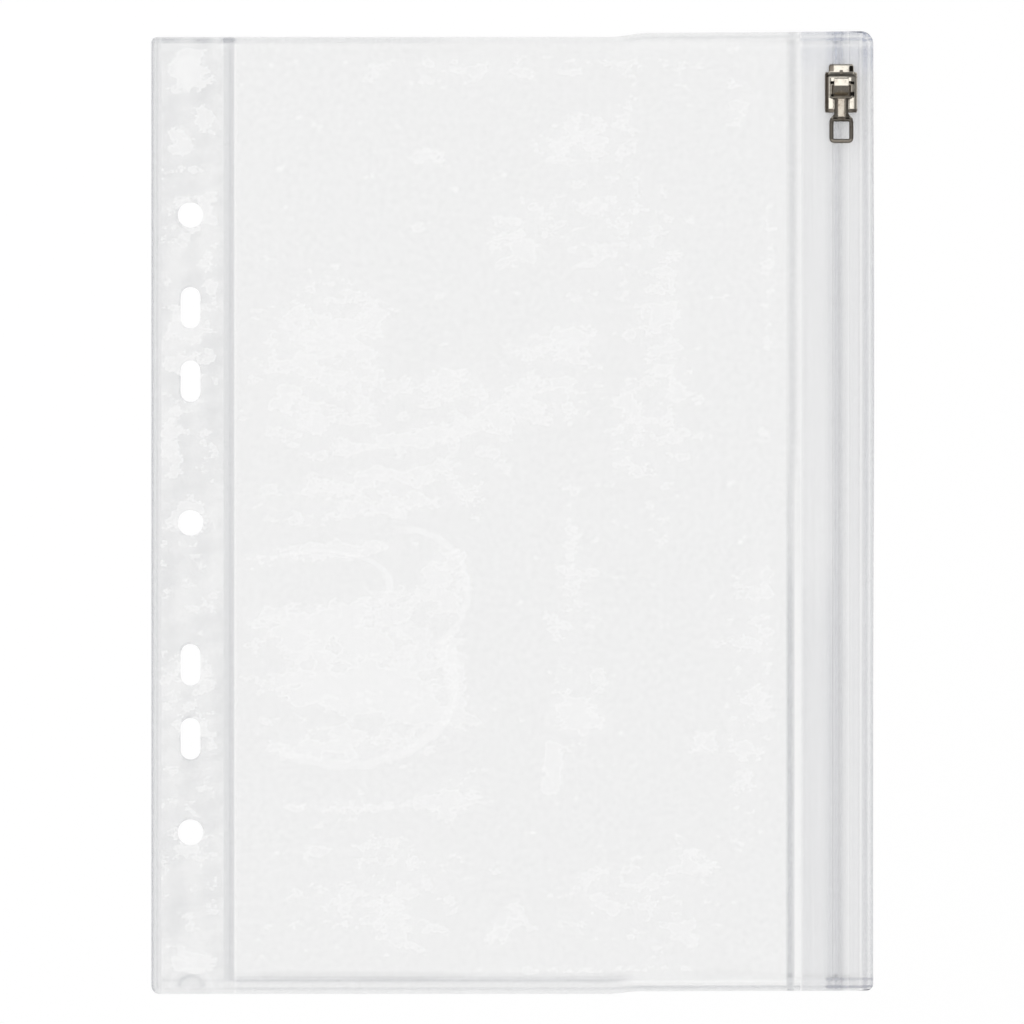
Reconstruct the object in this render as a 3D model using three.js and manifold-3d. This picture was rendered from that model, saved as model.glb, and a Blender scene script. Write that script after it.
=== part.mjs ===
// A clear film sleeve with a zip, punched for ring binders of 5.5 by 8.5 inch pages.
// Millimetres, +Z up. The sleeve lies on its back: X runs from the punched binding edge
// to the zip, Y runs up the page, and the origin is under the middle of the sleeve.
import * as THREE from "three";
import { mergeVertices } from "three/addons/utils/BufferGeometryUtils.js";
import Module from "manifold-3d";

const wasm = await Module();
wasm.setup();

// Sleeve outline and film
const sleeveWidth = 163.6;
const sleeveHeight = 216.4;
const filmThickness = 0.2;
const topLeftRadius = 1.3;
const topRightRadius = 2.8;
const bottomLeftRadius = 1.8;
const bottomRightRadius = 1.5;

// Welded seams, each measured in from its own edge
const topWeld = 2.0;
const bottomWeld = 3.0;
const bindingWeld = 2.3;
const zipEdgeWeld = 2.4;
const spineWeldStart = 16.1; // binding edge to the seam beside the punched strip
const spineWeldWidth = 2.7;
const seamRamp = 1.0; // length over which a film or a tape comes down to a seam
const weldEdge = 0.3; // slope at the side of a seam's pressed groove
const weldedFilm = 0.12; // thickness left of the front film in a seam
const weldedTape = 0.3; // thickness left of a tape's flange in a seam
const weldedProfile = 0.1; // share left of the height of what stands on the flange there

// Punched holes for the binder's rings: three round ones and two pairs of slots
const holeLine = 8.85; // binding edge to the hole centres
const holePatternDrop = 2.1; // how far the middle hole sits below the sleeve's middle
const ringPitch = 69.85; // 2.75 inches
const holeDiameter = 5.8;
const slotWidth = 4.5;
const slotLength = 9.4;
const nearSlotPitch = 32.1;
const farSlotPitch = 48.8;

// Zip tapes: flat flanges, and along their facing edges a neck with a head that the slider holds
const zipInset = 7.3; // zip edge to the middle of the zip
const zipLift = 0.3; // gap under the flanges, the pocket's mouth
const flangeThickness = 0.5;
const innerFlange = 12.3; // middle of the zip to the hidden edge of the inner tape
const tapeOverlap = 3.1; // how far the front film laps over the inner tape
const trackWidth = 4.1;
const headOverhang = 0.7;
const headHeight = 0.9;
const headChamfer = 0.3;
const trackGroove = 1.2; // open groove between the two heads
const neckGap = 0.7; // middle gap between the necks, which the hook crosses
const tapeGap = 0.25; // gap between the two tapes under the hook
const catchWidth = 0.25;
const catchHeight = 0.15;
const hookWall = 0.35;
const hookShank = 0.3;
const hookHead = 0.6;
const hookClearance = 0.2; // hook's tip to the channel's wall
const hookRoom = 0.25; // room over and under the hook in its channel

// Slider: a folded sheet round the track, with a strap staked to it as the bridge and a wedge
const sliderDrop = 11.9; // top edge of the sleeve to the middle of the resting slider
const sliderLength = 10.9;
const sliderSheet = 0.7;
const slideClearance = 0.25;
const spreadRoom = 0.9; // room beside each head for the tapes to spread round the wedge
const shoulderRadius = 0.6;
const foldRadius = 0.9;
const noseLength = 1.95;
const noseWidth = 5.6;
const stakeClearance = 0.05;

const bridgeWidth = 3.3;
const bridgeSet = 1.1; // slider's shoulder to the outer face of the bridge's upper leg
const bridgeLength = 4.2;
const bridgeFlat = 2.0;
const bridgeStrap = 0.6;
const bridgeRound = 0.5;
const earWidth = 5.1;
const earLength = 0.75;
const earThickness = 0.5;

const wedgeLength = 4.4;
const wedgeDepth = 0.8;
const wedgeSet = 0.35; // end of the slider's nose to the wedge's leading tip
const wedgeTenon = 0.9;
const wedgeRivet = 0.15;

// Pull tab: an eye round the bridge, a ribbed neck and a square loop
const pullThickness = 0.9;
const pullLift = 0.2; // gap between the resting pull tab and the slider's plate
const pullRoom = 0.2; // gap between the pull tab's bar and the top of the bridge
const pivotSet = 0.95; // inner face of the bridge's upper leg to the pivot
const eyeSideGap = 0.3;
const eyeEndGap = 0.15;
const eyeSide = 0.75;
const eyeRim = 0.3;
const neckWidth = 4.3;
const neckLength = 4.9;
const loopWidth = 5.5;
const loopLength = 5.5;
const loopBar = 0.75;
const loopSide = 1.1;
const pullRound = 0.7;
const ribWidth = 1.9;
const ribHeight = 0.25;
const ribLength = 4.2;

const roundSteps = 6; // straight steps in each quarter turn
const cutPast = 1; // how far a cutting solid runs past what it cuts
const mergeDistance = 1e-5;

// Levels above the surface that the sleeve lies on
const backTop = filmThickness;
const flangeBottom = backTop + zipLift;
const flangeTop = flangeBottom + flangeThickness;
const seamTop = backTop + weldedTape;
const headBottom = flangeTop + hookRoom + hookHead + hookRoom;
const headTop = headBottom + headHeight;
const plateBottom = headTop + slideClearance;
const plateTop = plateBottom + sliderSheet;

const middleX = sleeveWidth / 2;
const halfHeight = sleeveHeight / 2;
const zipX = middleX - zipInset;

// Rows across the sleeve where the welds and their ramps begin and end
const seamRows = [
  -halfHeight,
  -halfHeight + bottomWeld,
  -halfHeight + bottomWeld + seamRamp,
  halfHeight - topWeld - seamRamp,
  halfHeight - topWeld,
  halfHeight,
];
const rowIsOpen = [false, false, true, true, false, false];

function solidFrom(geometry) {
  const bare = geometry.index ? geometry.toNonIndexed() : geometry.clone();
  bare.deleteAttribute("normal");
  bare.deleteAttribute("uv");
  const merged = mergeVertices(bare, mergeDistance);
  return new wasm.Manifold(
    new wasm.Mesh({
      numProp: 3,
      vertProperties: merged.getAttribute("position").array,
      triVerts: new Uint32Array(merged.index.array),
    }),
  );
}

function geometryFrom(solid) {
  const { vertProperties, triVerts } = solid.getMesh();
  const geometry = new THREE.BufferGeometry();
  geometry.setAttribute("position", new THREE.BufferAttribute(vertProperties, 3));
  geometry.setIndex(new THREE.BufferAttribute(triVerts, 1));
  geometry.computeVertexNormals();
  return geometry;
}

// An upright prism of a flat outline, between two heights
function prism(shape, bottom, top) {
  const geometry = new THREE.ExtrudeGeometry(shape, {
    depth: top - bottom,
    bevelEnabled: false,
    curveSegments: roundSteps,
  });
  geometry.translate(0, 0, bottom);
  return solidFrom(geometry);
}

// A block between two corners
function block(left, right, near, far, bottom, top) {
  const geometry = new THREE.BoxGeometry(right - left, far - near, top - bottom);
  geometry.translate((left + right) / 2, (near + far) / 2, (bottom + top) / 2);
  return solidFrom(geometry);
}

// A side profile of (y, z) points, carried across X about the middle plane
function acrossX(points, width) {
  const geometry = new THREE.ExtrudeGeometry(new THREE.Shape(points), {
    depth: width,
    bevelEnabled: false,
  });
  const turn = new THREE.Matrix4().makeBasis(
    new THREE.Vector3(0, 1, 0),
    new THREE.Vector3(0, 0, 1),
    new THREE.Vector3(1, 0, 0),
  );
  geometry.applyMatrix4(turn);
  geometry.translate(-width / 2, 0, 0);
  return solidFrom(geometry);
}

// A closed (x, z) profile carried along Y, with its own points at each station.
// The profile runs anticlockwise, seen from the near end with X to the right.
function loftAlongY(stations) {
  const count = stations[0].points.length;
  const vertices = stations.flatMap(({ y, points }) =>
    points.flatMap((point) => [point.x, y, point.y]),
  );
  const faces = [];
  for (let station = 0; station < stations.length - 1; station++) {
    for (let corner = 0; corner < count; corner++) {
      const near = station * count + corner;
      const nearNext = station * count + ((corner + 1) % count);
      faces.push(near, nearNext + count, nearNext, near, near + count, nearNext + count);
    }
  }
  const lastStart = (stations.length - 1) * count;
  for (const [a, b, c] of THREE.ShapeUtils.triangulateShape(stations[0].points, [])) {
    faces.push(a, b, c);
  }
  const lastPoints = stations[stations.length - 1].points;
  for (const [a, b, c] of THREE.ShapeUtils.triangulateShape(lastPoints, [])) {
    faces.push(lastStart + a, lastStart + c, lastStart + b);
  }
  const geometry = new THREE.BufferGeometry();
  geometry.setAttribute("position", new THREE.Float32BufferAttribute(vertices, 3));
  geometry.setIndex(faces);
  return solidFrom(geometry);
}

// A film over a grid of columns and rows: levelsAt gives its underside and top at each place
function filmOver(columns, rows, levelsAt) {
  const vertices = [];
  for (const side of [0, 1]) {
    for (let row = 0; row < rows.length; row++) {
      for (let column = 0; column < columns.length; column++) {
        vertices.push(columns[column], rows[row], levelsAt(column, row)[side]);
      }
    }
  }
  const across = columns.length;
  const layer = across * rows.length;
  const at = (column, row) => row * across + column;
  const faces = [];
  const quad = (a, b, c, d) => faces.push(a, b, c, a, c, d);
  for (let row = 0; row < rows.length - 1; row++) {
    for (let column = 0; column < across - 1; column++) {
      const a = at(column, row);
      const b = at(column + 1, row);
      const c = at(column + 1, row + 1);
      const d = at(column, row + 1);
      faces.push(a, c, b, a, d, c);
      quad(a + layer, b + layer, c + layer, d + layer);
    }
  }
  const edge = [];
  for (let column = 0; column < across - 1; column++) edge.push(at(column, 0));
  for (let row = 0; row < rows.length - 1; row++) edge.push(at(across - 1, row));
  for (let column = across - 1; column > 0; column--) edge.push(at(column, rows.length - 1));
  for (let row = rows.length - 1; row > 0; row--) edge.push(at(0, row));
  edge.forEach((corner, place) => {
    const next = edge[(place + 1) % edge.length];
    quad(corner, next, next + layer, corner + layer);
  });
  const geometry = new THREE.BufferGeometry();
  geometry.setAttribute("position", new THREE.Float32BufferAttribute(vertices, 3));
  geometry.setIndex(faces);
  return solidFrom(geometry);
}

// An outline with a quarter turn at each corner: radii run from the lower left anticlockwise
function roundedBox(left, right, near, far, radii) {
  const [lowerLeft, lowerRight, upperRight, upperLeft] = radii;
  const shape = new THREE.Shape();
  const quarter = Math.PI / 2;
  shape.absarc(left + lowerLeft, near + lowerLeft, lowerLeft, 2 * quarter, 3 * quarter);
  shape.absarc(right - lowerRight, near + lowerRight, lowerRight, 3 * quarter, 4 * quarter);
  shape.absarc(right - upperRight, far - upperRight, upperRight, 0, quarter);
  shape.absarc(left + upperLeft, far - upperLeft, upperLeft, quarter, 2 * quarter);
  shape.closePath();
  return shape;
}

// The (x, y) places of a fold's corner: an arc about a centre, between two angles in quarter turns
function arcPoints(centreX, centreY, radius, from, to) {
  const points = [];
  for (let step = 0; step <= roundSteps; step++) {
    const angle = ((from + ((to - from) * step) / roundSteps) * Math.PI) / 2;
    points.push(
      new THREE.Vector2(centreX + radius * Math.cos(angle), centreY + radius * Math.sin(angle)),
    );
  }
  return points;
}

const pairs = (...values) => values.map(([x, y]) => new THREE.Vector2(x, y));

// Everything inside the sleeve's rounded outline
function sleeveOutline() {
  const radii = [bottomLeftRadius, bottomRightRadius, topRightRadius, topLeftRadius];
  const shape = roundedBox(-middleX, middleX, -halfHeight, halfHeight, radii);
  return prism(shape, -cutPast, headTop + cutPast);
}

// The seven punches: each is a slot whose round ends have its width, and a round hole is the
// slot with no straight run
function holePunches() {
  const places = [
    [0, holeDiameter, holeDiameter],
    [ringPitch, holeDiameter, holeDiameter],
    [-ringPitch, holeDiameter, holeDiameter],
    [nearSlotPitch, slotWidth, slotLength],
    [-nearSlotPitch, slotWidth, slotLength],
    [farSlotPitch, slotWidth, slotLength],
    [-farSlotPitch, slotWidth, slotLength],
  ];
  const x = holeLine - middleX;
  return places.map(([offset, width, length]) => {
    const y = offset - holePatternDrop;
    const run = (length - width) / 2;
    const shape = new THREE.Shape();
    shape.absarc(x, y + run, width / 2, 0, Math.PI);
    shape.absarc(x, y - run, width / 2, Math.PI, 2 * Math.PI);
    shape.closePath();
    return prism(shape, -cutPast, seamTop + cutPast);
  });
}

function punched(film) {
  return holePunches().reduce((left, punch) => left.subtract(punch), film);
}

function backFilm() {
  const sheet = block(-middleX, middleX, -halfHeight, halfHeight, 0, backTop);
  return punched(sheet.intersect(sleeveOutline()));
}

// The front film lies on the back film at every seam and over the whole punched strip. Over the
// pocket it stands level with the zip's flange, whose edge it laps. Seams are pressed into it.
function frontFilm() {
  const pocketStart = spineWeldStart + spineWeldWidth;
  const tapeStart = sleeveWidth - zipInset - innerFlange;
  const across = [
    { at: 0, welded: true },
    { at: bindingWeld, welded: true },
    { at: bindingWeld + weldEdge },
    { at: spineWeldStart - weldEdge },
    { at: spineWeldStart, welded: true },
    { at: pocketStart, welded: true },
    { at: pocketStart + seamRamp, lifted: true },
    { at: tapeStart - weldEdge, lifted: true },
    { at: tapeStart, welded: true, lifted: true, onTape: true },
    { at: tapeStart + tapeOverlap, welded: true, lifted: true, onTape: true },
  ];
  const levelsAt = (column, row) => {
    const { welded, lifted, onTape } = across[column];
    const thickness = welded || !rowIsOpen[row] ? weldedFilm : filmThickness;
    const seamed = onTape ? seamTop : backTop;
    const underside = lifted && rowIsOpen[row] ? flangeTop : seamed;
    return [underside, underside + thickness];
  };
  const columns = across.map(({ at }) => at - middleX);
  const sheet = filmOver(columns, seamRows, levelsAt);
  return punched(sheet.intersect(sleeveOutline()));
}

// The level of a flange's underside: it comes down to the back film at the zip edge's weld
function flangeUnderside(across) {
  const weldInside = zipInset - zipEdgeWeld;
  const share = (across - (weldInside - seamRamp)) / seamRamp;
  return flangeBottom - zipLift * Math.min(Math.max(share, 0), 1);
}

// A profile point pressed flat by the seam: the flange keeps weldedTape of its thickness, and
// what stands on it keeps weldedProfile of its height
function pressed(point) {
  const height = point.y - flangeUnderside(point.x);
  const flange = Math.min(height, flangeThickness) * (weldedTape / flangeThickness);
  const above = Math.max(height - flangeThickness, 0) * weldedProfile;
  return new THREE.Vector2(point.x, backTop + flange + above);
}

function tapeFrom(profile) {
  const stations = seamRows.map((y, row) => ({
    y,
    points: (rowIsOpen[row] ? profile : profile.map(pressed)).map(
      (point) => new THREE.Vector2(point.x + zipX, point.y),
    ),
  }));
  return loftAlongY(stations).intersect(sleeveOutline());
}

const headSide = trackWidth / 2;
const neckSide = headSide - headOverhang;
const grooveSide = trackGroove / 2;
const gapSide = neckGap / 2;
const hookMiddle = (flangeTop + headBottom) / 2;

// The inner tape, under the front film's edge: its neck carries the hook
function hookTape() {
  const hookTip = neckSide - hookWall - hookClearance;
  const hookBack = hookTip - hookHead / 2;
  return tapeFrom(
    pairs(
      [-innerFlange, flangeBottom],
      [-gapSide, flangeBottom],
      [-gapSide, hookMiddle - hookShank / 2],
      [hookBack, hookMiddle - hookShank / 2],
      [hookBack, hookMiddle - hookHead / 2],
      [hookTip, hookMiddle],
      [hookBack, hookMiddle + hookHead / 2],
      [hookBack, hookMiddle + hookShank / 2],
      [-gapSide, hookMiddle + hookShank / 2],
      [-gapSide, headBottom],
      [-grooveSide, headBottom],
      [-grooveSide, headTop],
      [-headSide + headChamfer, headTop],
      [-headSide, headTop - headChamfer],
      [-headSide, headBottom],
      [-neckSide, headBottom],
      [-neckSide, flangeTop],
      [-innerFlange, flangeTop],
    ),
  );
}

// The outer tape, welded to the back film along the sleeve's edge: its neck holds the channel
function grooveTape() {
  const weldInside = zipInset - zipEdgeWeld;
  const lipEdge = tapeGap - gapSide;
  const channelBack = neckSide - hookWall;
  return tapeFrom(
    pairs(
      [lipEdge, flangeBottom],
      [weldInside - seamRamp, flangeBottom],
      [weldInside, backTop],
      [zipInset, backTop],
      [zipInset, seamTop],
      [weldInside, seamTop],
      [weldInside - seamRamp, flangeTop],
      [neckSide, flangeTop],
      [neckSide, headBottom],
      [headSide, headBottom],
      [headSide, headTop - headChamfer],
      [headSide - headChamfer, headTop],
      [grooveSide, headTop],
      [grooveSide, headBottom - catchHeight],
      [grooveSide + catchWidth, headBottom - catchHeight],
      [grooveSide + catchWidth, headBottom],
      [channelBack, headBottom],
      [channelBack, flangeTop],
      [lipEdge + catchWidth, flangeTop],
      [lipEdge + catchWidth, flangeTop + catchHeight],
      [lipEdge, flangeTop + catchHeight],
    ),
  );
}

const sliderHalf = trackWidth / 2 + spreadRoom + sliderSheet;
const sliderFoot = -sliderLength / 2;
const sliderShoulder = sliderLength / 2 - noseLength;
const bridgeTop = sliderShoulder - bridgeSet;
const lowerLegFace = bridgeTop - bridgeLength;
const stakeMiddle = lowerLegFace + bridgeStrap;
const windowHeight = pullLift + pullThickness + pullRoom;
const bridgeHeight = windowHeight + bridgeStrap;
const pivotY = bridgeTop - bridgeStrap - pivotSet;
const wedgeTip = sliderLength / 2 - wedgeSet;
const wedgeWidth = trackGroove - 2 * slideClearance;

// The folded sheet: a plate over the track, a wall down each side, and jaws under the heads
function sliderBody() {
  const wallInside = sliderHalf - sliderSheet;
  const jawInside = neckSide + slideClearance;
  const jawBottom = flangeTop + slideClearance;
  const jawTop = headBottom - slideClearance;
  const section = [
    ...arcPoints(sliderHalf - foldRadius, plateTop - foldRadius, foldRadius, 0, 1),
    ...arcPoints(foldRadius - sliderHalf, plateTop - foldRadius, foldRadius, 1, 2),
    ...pairs(
      [-sliderHalf, jawBottom],
      [-jawInside, jawBottom],
      [-jawInside, jawTop],
      [-wallInside, jawTop],
      [-wallInside, plateBottom],
      [wallInside, plateBottom],
      [wallInside, jawTop],
      [jawInside, jawTop],
      [jawInside, jawBottom],
      [sliderHalf, jawBottom],
    ),
  ];
  const channel = loftAlongY([
    { y: sliderFoot, points: section },
    { y: sliderShoulder, points: section },
  ]);
  const corner = Array(4).fill(shoulderRadius);
  const mainPlan = roundedBox(-sliderHalf, sliderHalf, sliderFoot, sliderShoulder, corner);
  const noseHalf = noseWidth / 2;
  const noseEnd = sliderShoulder + noseLength;
  const noseStart = sliderShoulder - noseLength;
  const nosePlan = roundedBox(-noseHalf, noseHalf, noseStart, noseEnd, corner);
  const room = stakeClearance;
  const slotHalf = bridgeWidth / 2 + room;
  const tenonHalf = wedgeWidth / 2 + room;
  const below = plateBottom - cutPast;
  const above = plateTop + cutPast;
  const upperSlot = block(
    -slotHalf, slotHalf, bridgeTop - bridgeStrap - room, bridgeTop + room, below, above,
  );
  const lowerSlot = block(
    -slotHalf, slotHalf, stakeMiddle - bridgeStrap / 2 - room,
    stakeMiddle + bridgeStrap / 2 + room, below, above,
  );
  const [tenonNear, tenonFar] = tenonSpan();
  const tenonSlot = block(
    -tenonHalf, tenonHalf, tenonNear - room, tenonFar + room, below, above,
  );
  return channel
    .intersect(prism(mainPlan, 0, above))
    .add(prism(nosePlan, plateBottom, plateTop))
    .subtract(upperSlot)
    .subtract(lowerSlot)
    .subtract(tenonSlot);
}

// The bridge: a bent strap. Its upper leg is square and has ears on the plate, and its lower leg
// slopes. A stake under each leg passes through the plate.
function sliderBridge() {
  const flatEnd = bridgeTop - bridgeFlat;
  const slopeRun = flatEnd - lowerLegFace;
  const slope = Math.hypot(slopeRun, bridgeHeight);
  const runPerRise = slopeRun / bridgeHeight;
  // the inner face of the slope lies one strap's thickness inside the outer face
  const insideFoot = lowerLegFace + (bridgeStrap * slope) / bridgeHeight;
  const insideTop = insideFoot + windowHeight * runPerRise;
  const archProfile = [
    ...pairs([bridgeTop, 0]),
    ...arcPoints(bridgeTop - bridgeRound, bridgeHeight - bridgeRound, bridgeRound, 0, 1),
    ...pairs(
      [flatEnd, bridgeHeight],
      [lowerLegFace, 0],
      [insideFoot, 0],
      [insideTop, windowHeight],
      [bridgeTop - bridgeStrap, windowHeight],
      [bridgeTop - bridgeStrap, 0],
    ),
  ];
  const ears = block(
    -earWidth / 2, earWidth / 2, bridgeTop - earLength, bridgeTop, 0, earThickness,
  );
  const half = bridgeWidth / 2;
  const upperStake = block(
    -half, half, bridgeTop - bridgeStrap, bridgeTop, -sliderSheet, earThickness / 2,
  );
  const lowerStake = block(
    -half, half, stakeMiddle - bridgeStrap / 2, stakeMiddle + bridgeStrap / 2,
    -sliderSheet, bridgeStrap / 4,
  );
  return acrossX(archProfile, bridgeWidth)
    .add(ears)
    .add(upperStake)
    .add(lowerStake)
    .translate([0, 0, plateTop]);
}

// Where the wedge's tenon stands along the slider
function tenonSpan() {
  const middle = wedgeTip - wedgeLength / 3;
  return [middle - wedgeTenon / 2, middle + wedgeTenon / 2];
}

// The wedge: a boat-shaped plough in the groove between the heads, with a tenon riveted
// through the plate
function sliderWedge() {
  const half = wedgeWidth / 2;
  const shoulder = wedgeLength / 4;
  const plan = new THREE.Shape(
    pairs(
      [0, wedgeTip - wedgeLength],
      [half, wedgeTip - wedgeLength + shoulder],
      [half, wedgeTip - shoulder],
      [0, wedgeTip],
      [-half, wedgeTip - shoulder],
      [-half, wedgeTip - wedgeLength + shoulder],
    ),
  );
  const [near, far] = tenonSpan();
  const tenon = block(-half, half, near, far, plateBottom - wedgeDepth / 2, plateTop + wedgeRivet);
  return prism(plan, plateBottom - wedgeDepth, plateBottom).add(tenon);
}

// The pull tab about its pivot, hanging towards -Y: a round bar under the bridge, an eye round
// the bridge's lower leg, a neck with a raised rib, and a loop
function pullTab() {
  const radius = pullThickness / 2;
  const eyeReach = pivotY - lowerLegFace + eyeEndGap;
  const eyeHalf = bridgeWidth / 2 + eyeSideGap + eyeSide;
  const eyeFoot = -eyeReach - eyeRim;
  const loopTop = -eyeReach - neckLength;
  const loopFoot = loopTop - loopLength;
  const neckHalf = neckWidth / 2;
  const loopHalf = loopWidth / 2;
  const around = Array(4).fill(pullRound);
  const inside = Array(4).fill(pullRound / 2);
  const plate = (outline) => prism(outline, -radius, radius);
  const eye = plate(roundedBox(-eyeHalf, eyeHalf, eyeFoot, radius, around));
  const neck = block(-neckHalf, neckHalf, loopTop - loopBar, -eyeReach, -radius, radius);
  const loop = plate(roundedBox(-loopHalf, loopHalf, loopFoot, loopTop, around));
  const eyeHole = block(
    eyeSide - eyeHalf, eyeHalf - eyeSide, -eyeReach, 2 * radius, -2 * radius, 2 * radius,
  );
  const loopHole = roundedBox(
    loopSide - loopHalf, loopHalf - loopSide, loopFoot + loopBar, loopTop - loopBar, inside,
  );
  const ribFar = -eyeReach - eyeRim;
  const rib = block(
    -ribWidth / 2, ribWidth / 2, ribFar - ribLength, ribFar, 0, radius + ribHeight,
  );
  const bar = new THREE.CylinderGeometry(radius, radius, 2 * eyeHalf - eyeSide, 4 * roundSteps);
  bar.rotateZ(Math.PI / 2);
  return eye
    .add(neck)
    .add(loop)
    .add(rib)
    .subtract(eyeHole)
    .subtract(prism(loopHole, -2 * radius, 2 * radius))
    .add(solidFrom(bar));
}

const clearFilm = new THREE.MeshStandardMaterial({
  color: 0xe9ebee,
  roughness: 0.12,
  metalness: 0,
  transparent: true,
  opacity: 0.35,
});
const tintedZip = new THREE.MeshStandardMaterial({
  color: 0xc9cad8,
  roughness: 0.22,
  metalness: 0,
  transparent: true,
  opacity: 0.6,
});
const paleMetal = new THREE.MeshStandardMaterial({
  color: 0xcfc6b2,
  roughness: 0.24,
  metalness: 1,
});

function named(name, solid, material) {
  const mesh = new THREE.Mesh(geometryFrom(solid), material);
  mesh.name = name;
  return mesh;
}

const sleeve = new THREE.Group();
sleeve.add(named("back_film", backFilm(), clearFilm));
sleeve.add(named("front_film", frontFilm(), clearFilm));
sleeve.add(named("hook_zip_tape", hookTape(), tintedZip));
sleeve.add(named("groove_zip_tape", grooveTape(), tintedZip));

const pull = new THREE.Group();
pull.position.set(0, pivotY, plateTop + pullLift + pullThickness / 2);
pull.add(named("pull_tab", pullTab(), paleMetal));

const slider = new THREE.Group();
slider.position.set(zipX, halfHeight - sliderDrop, 0);
slider.add(named("slider_body", sliderBody(), paleMetal));
slider.add(named("slider_bridge", sliderBridge(), paleMetal));
slider.add(named("slider_wedge", sliderWedge(), paleMetal));
slider.add(pull);
sleeve.add(slider);

export default sleeve;
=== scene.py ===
import math

import bpy
import numpy as np
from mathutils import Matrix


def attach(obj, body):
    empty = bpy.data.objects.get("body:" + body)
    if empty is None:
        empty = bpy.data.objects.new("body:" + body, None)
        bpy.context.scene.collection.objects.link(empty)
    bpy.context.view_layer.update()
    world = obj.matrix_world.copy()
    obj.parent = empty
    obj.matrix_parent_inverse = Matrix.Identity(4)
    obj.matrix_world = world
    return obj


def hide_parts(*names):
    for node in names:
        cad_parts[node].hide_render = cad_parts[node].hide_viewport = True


# A clear zip sleeve for a ring binder: two welded films with a punched strip, and a plastic zip
# with a metal slider. Sizes in the dictionaries are in millimetres unless a note says otherwise.
# Places are from the sleeve's middle, or from its punched edge where a note says so.

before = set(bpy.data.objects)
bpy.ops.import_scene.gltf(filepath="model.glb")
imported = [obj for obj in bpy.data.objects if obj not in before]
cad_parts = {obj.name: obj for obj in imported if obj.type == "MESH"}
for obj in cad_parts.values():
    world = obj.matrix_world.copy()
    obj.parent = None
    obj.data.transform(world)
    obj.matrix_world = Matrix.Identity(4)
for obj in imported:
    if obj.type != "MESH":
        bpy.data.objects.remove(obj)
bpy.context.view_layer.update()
mm = 0.001
scene = bpy.context.scene

sleeve = {
    "width": 163.6,
    "height": 216.4,
    "film": 0.2,
    "gap": 0.02,  # air left between pieces that touch
    "corners": {"topLeft": 1.3, "topRight": 2.8, "bottomLeft": 1.8, "bottomRight": 1.5},
    # how far the ends sit from square, by place across; both bend up a little right of the middle
    "topSkew": [(-81.8, -0.15), (23.0, -0.15), (30.0, 0.75), (55.0, 0.9), (81.8, 1.15)],
    "bottomSkew": [(-81.8, -0.7), (22.5, -0.7), (28.0, -0.12), (81.8, 0.05)],
    "bend": (23.0, 29.0),
    # the zip's edge bows out this far, from this place across, about this height, over this length
    "bow": {"size": 0.25, "from": 76.0, "middle": 35.0, "length": 55.0},
}
halfWidth = sleeve["width"] / 2
halfHeight = sleeve["height"] / 2
backTop = sleeve["film"]
aboveBack = backTop + sleeve["gap"]
zipX = halfWidth - 7.3


# Shader maths


# A shader value. Arithmetic on it adds Math nodes.
class Value:
    def __init__(self, tree, socket):
        self.tree = tree
        self.socket = socket

    # Another output of the same node
    def output(self, key):
        return Value(self.tree, self.socket.node.outputs[key])

    def joined(self, operation, first, second):
        return add(self.tree, "ShaderNodeMath", {"operation": operation}, {0: first, 1: second})

    def __add__(self, other):
        return self.joined("ADD", self, other)

    def __radd__(self, other):
        return self.joined("ADD", other, self)

    def __sub__(self, other):
        return self.joined("SUBTRACT", self, other)

    def __rsub__(self, other):
        return self.joined("SUBTRACT", other, self)

    def __mul__(self, other):
        return self.joined("MULTIPLY", self, other)

    def __rmul__(self, other):
        return self.joined("MULTIPLY", other, self)

    def __truediv__(self, other):
        return self.joined("DIVIDE", self, other)

    def __rtruediv__(self, other):
        return self.joined("DIVIDE", other, self)

    def __pow__(self, other):
        return self.joined("POWER", self, other)


# Adds one node: its settings first, then values or links on its sockets
def add(tree, kind, settings=None, inputs=None, output=0):
    node = tree.nodes.new(kind)
    for name, value in (settings or {}).items():
        setattr(node, name, value)
    for key, value in (inputs or {}).items():
        if isinstance(value, Value):
            tree.links.new(value.socket, node.inputs[key])
        else:
            node.inputs[key].default_value = value
    return Value(tree, node.outputs[output]) if node.outputs else None


# 0 below low, 1 above high, and a soft step between
def step(value, low, high):
    return add(value.tree, "ShaderNodeMapRange", {"interpolation_type": "SMOOTHSTEP"},
               {"Value": value, "From Min": low, "From Max": high})


# The first colour where factor is 0, the second where it is 1
def mixed(factor, first, second):
    return add(factor.tree, "ShaderNodeMix", {"data_type": "RGBA"},
               {0: factor, 6: first, 7: second}, output=2)


# Noise over a flat plan ("2D") or through a solid ("3D")
def noise(tree, place, scale, detail=2.0, roughness=0.5, kind="2D"):
    return add(tree, "ShaderNodeTexNoise", {"noise_dimensions": kind},
               {"Vector": place, "Scale": scale, "Detail": detail, "Roughness": roughness})


# place times (x, y, z), to draw a pattern out along one side
def stretched(tree, place, scale):
    return add(tree, "ShaderNodeVectorMath", {"operation": "MULTIPLY"}, {0: place, 1: scale})


# Where a point of a film or tape lies on the flat sleeve, in metres
def planOf(tree):
    return add(tree, "ShaderNodeAttribute", {"attribute_name": "plan"}, output=1)


# The three marks that a piece's points carry
def marksOf(tree):
    marks = add(tree, "ShaderNodeAttribute", {"attribute_name": "marks"})
    parts = add(tree, "ShaderNodeSeparateColor", {}, {0: marks})
    return [parts.output(place) for place in range(3)]


# An empty material and its node tree
def newMaterial(name):
    material = bpy.data.materials.new(name)
    material.use_nodes = True
    material.node_tree.nodes.clear()
    return material, material.node_tree


# Ends a material with its shader
def close(tree, shader):
    add(tree, "ShaderNodeOutputMaterial", {}, {"Surface": shader})


# Meshes


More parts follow.
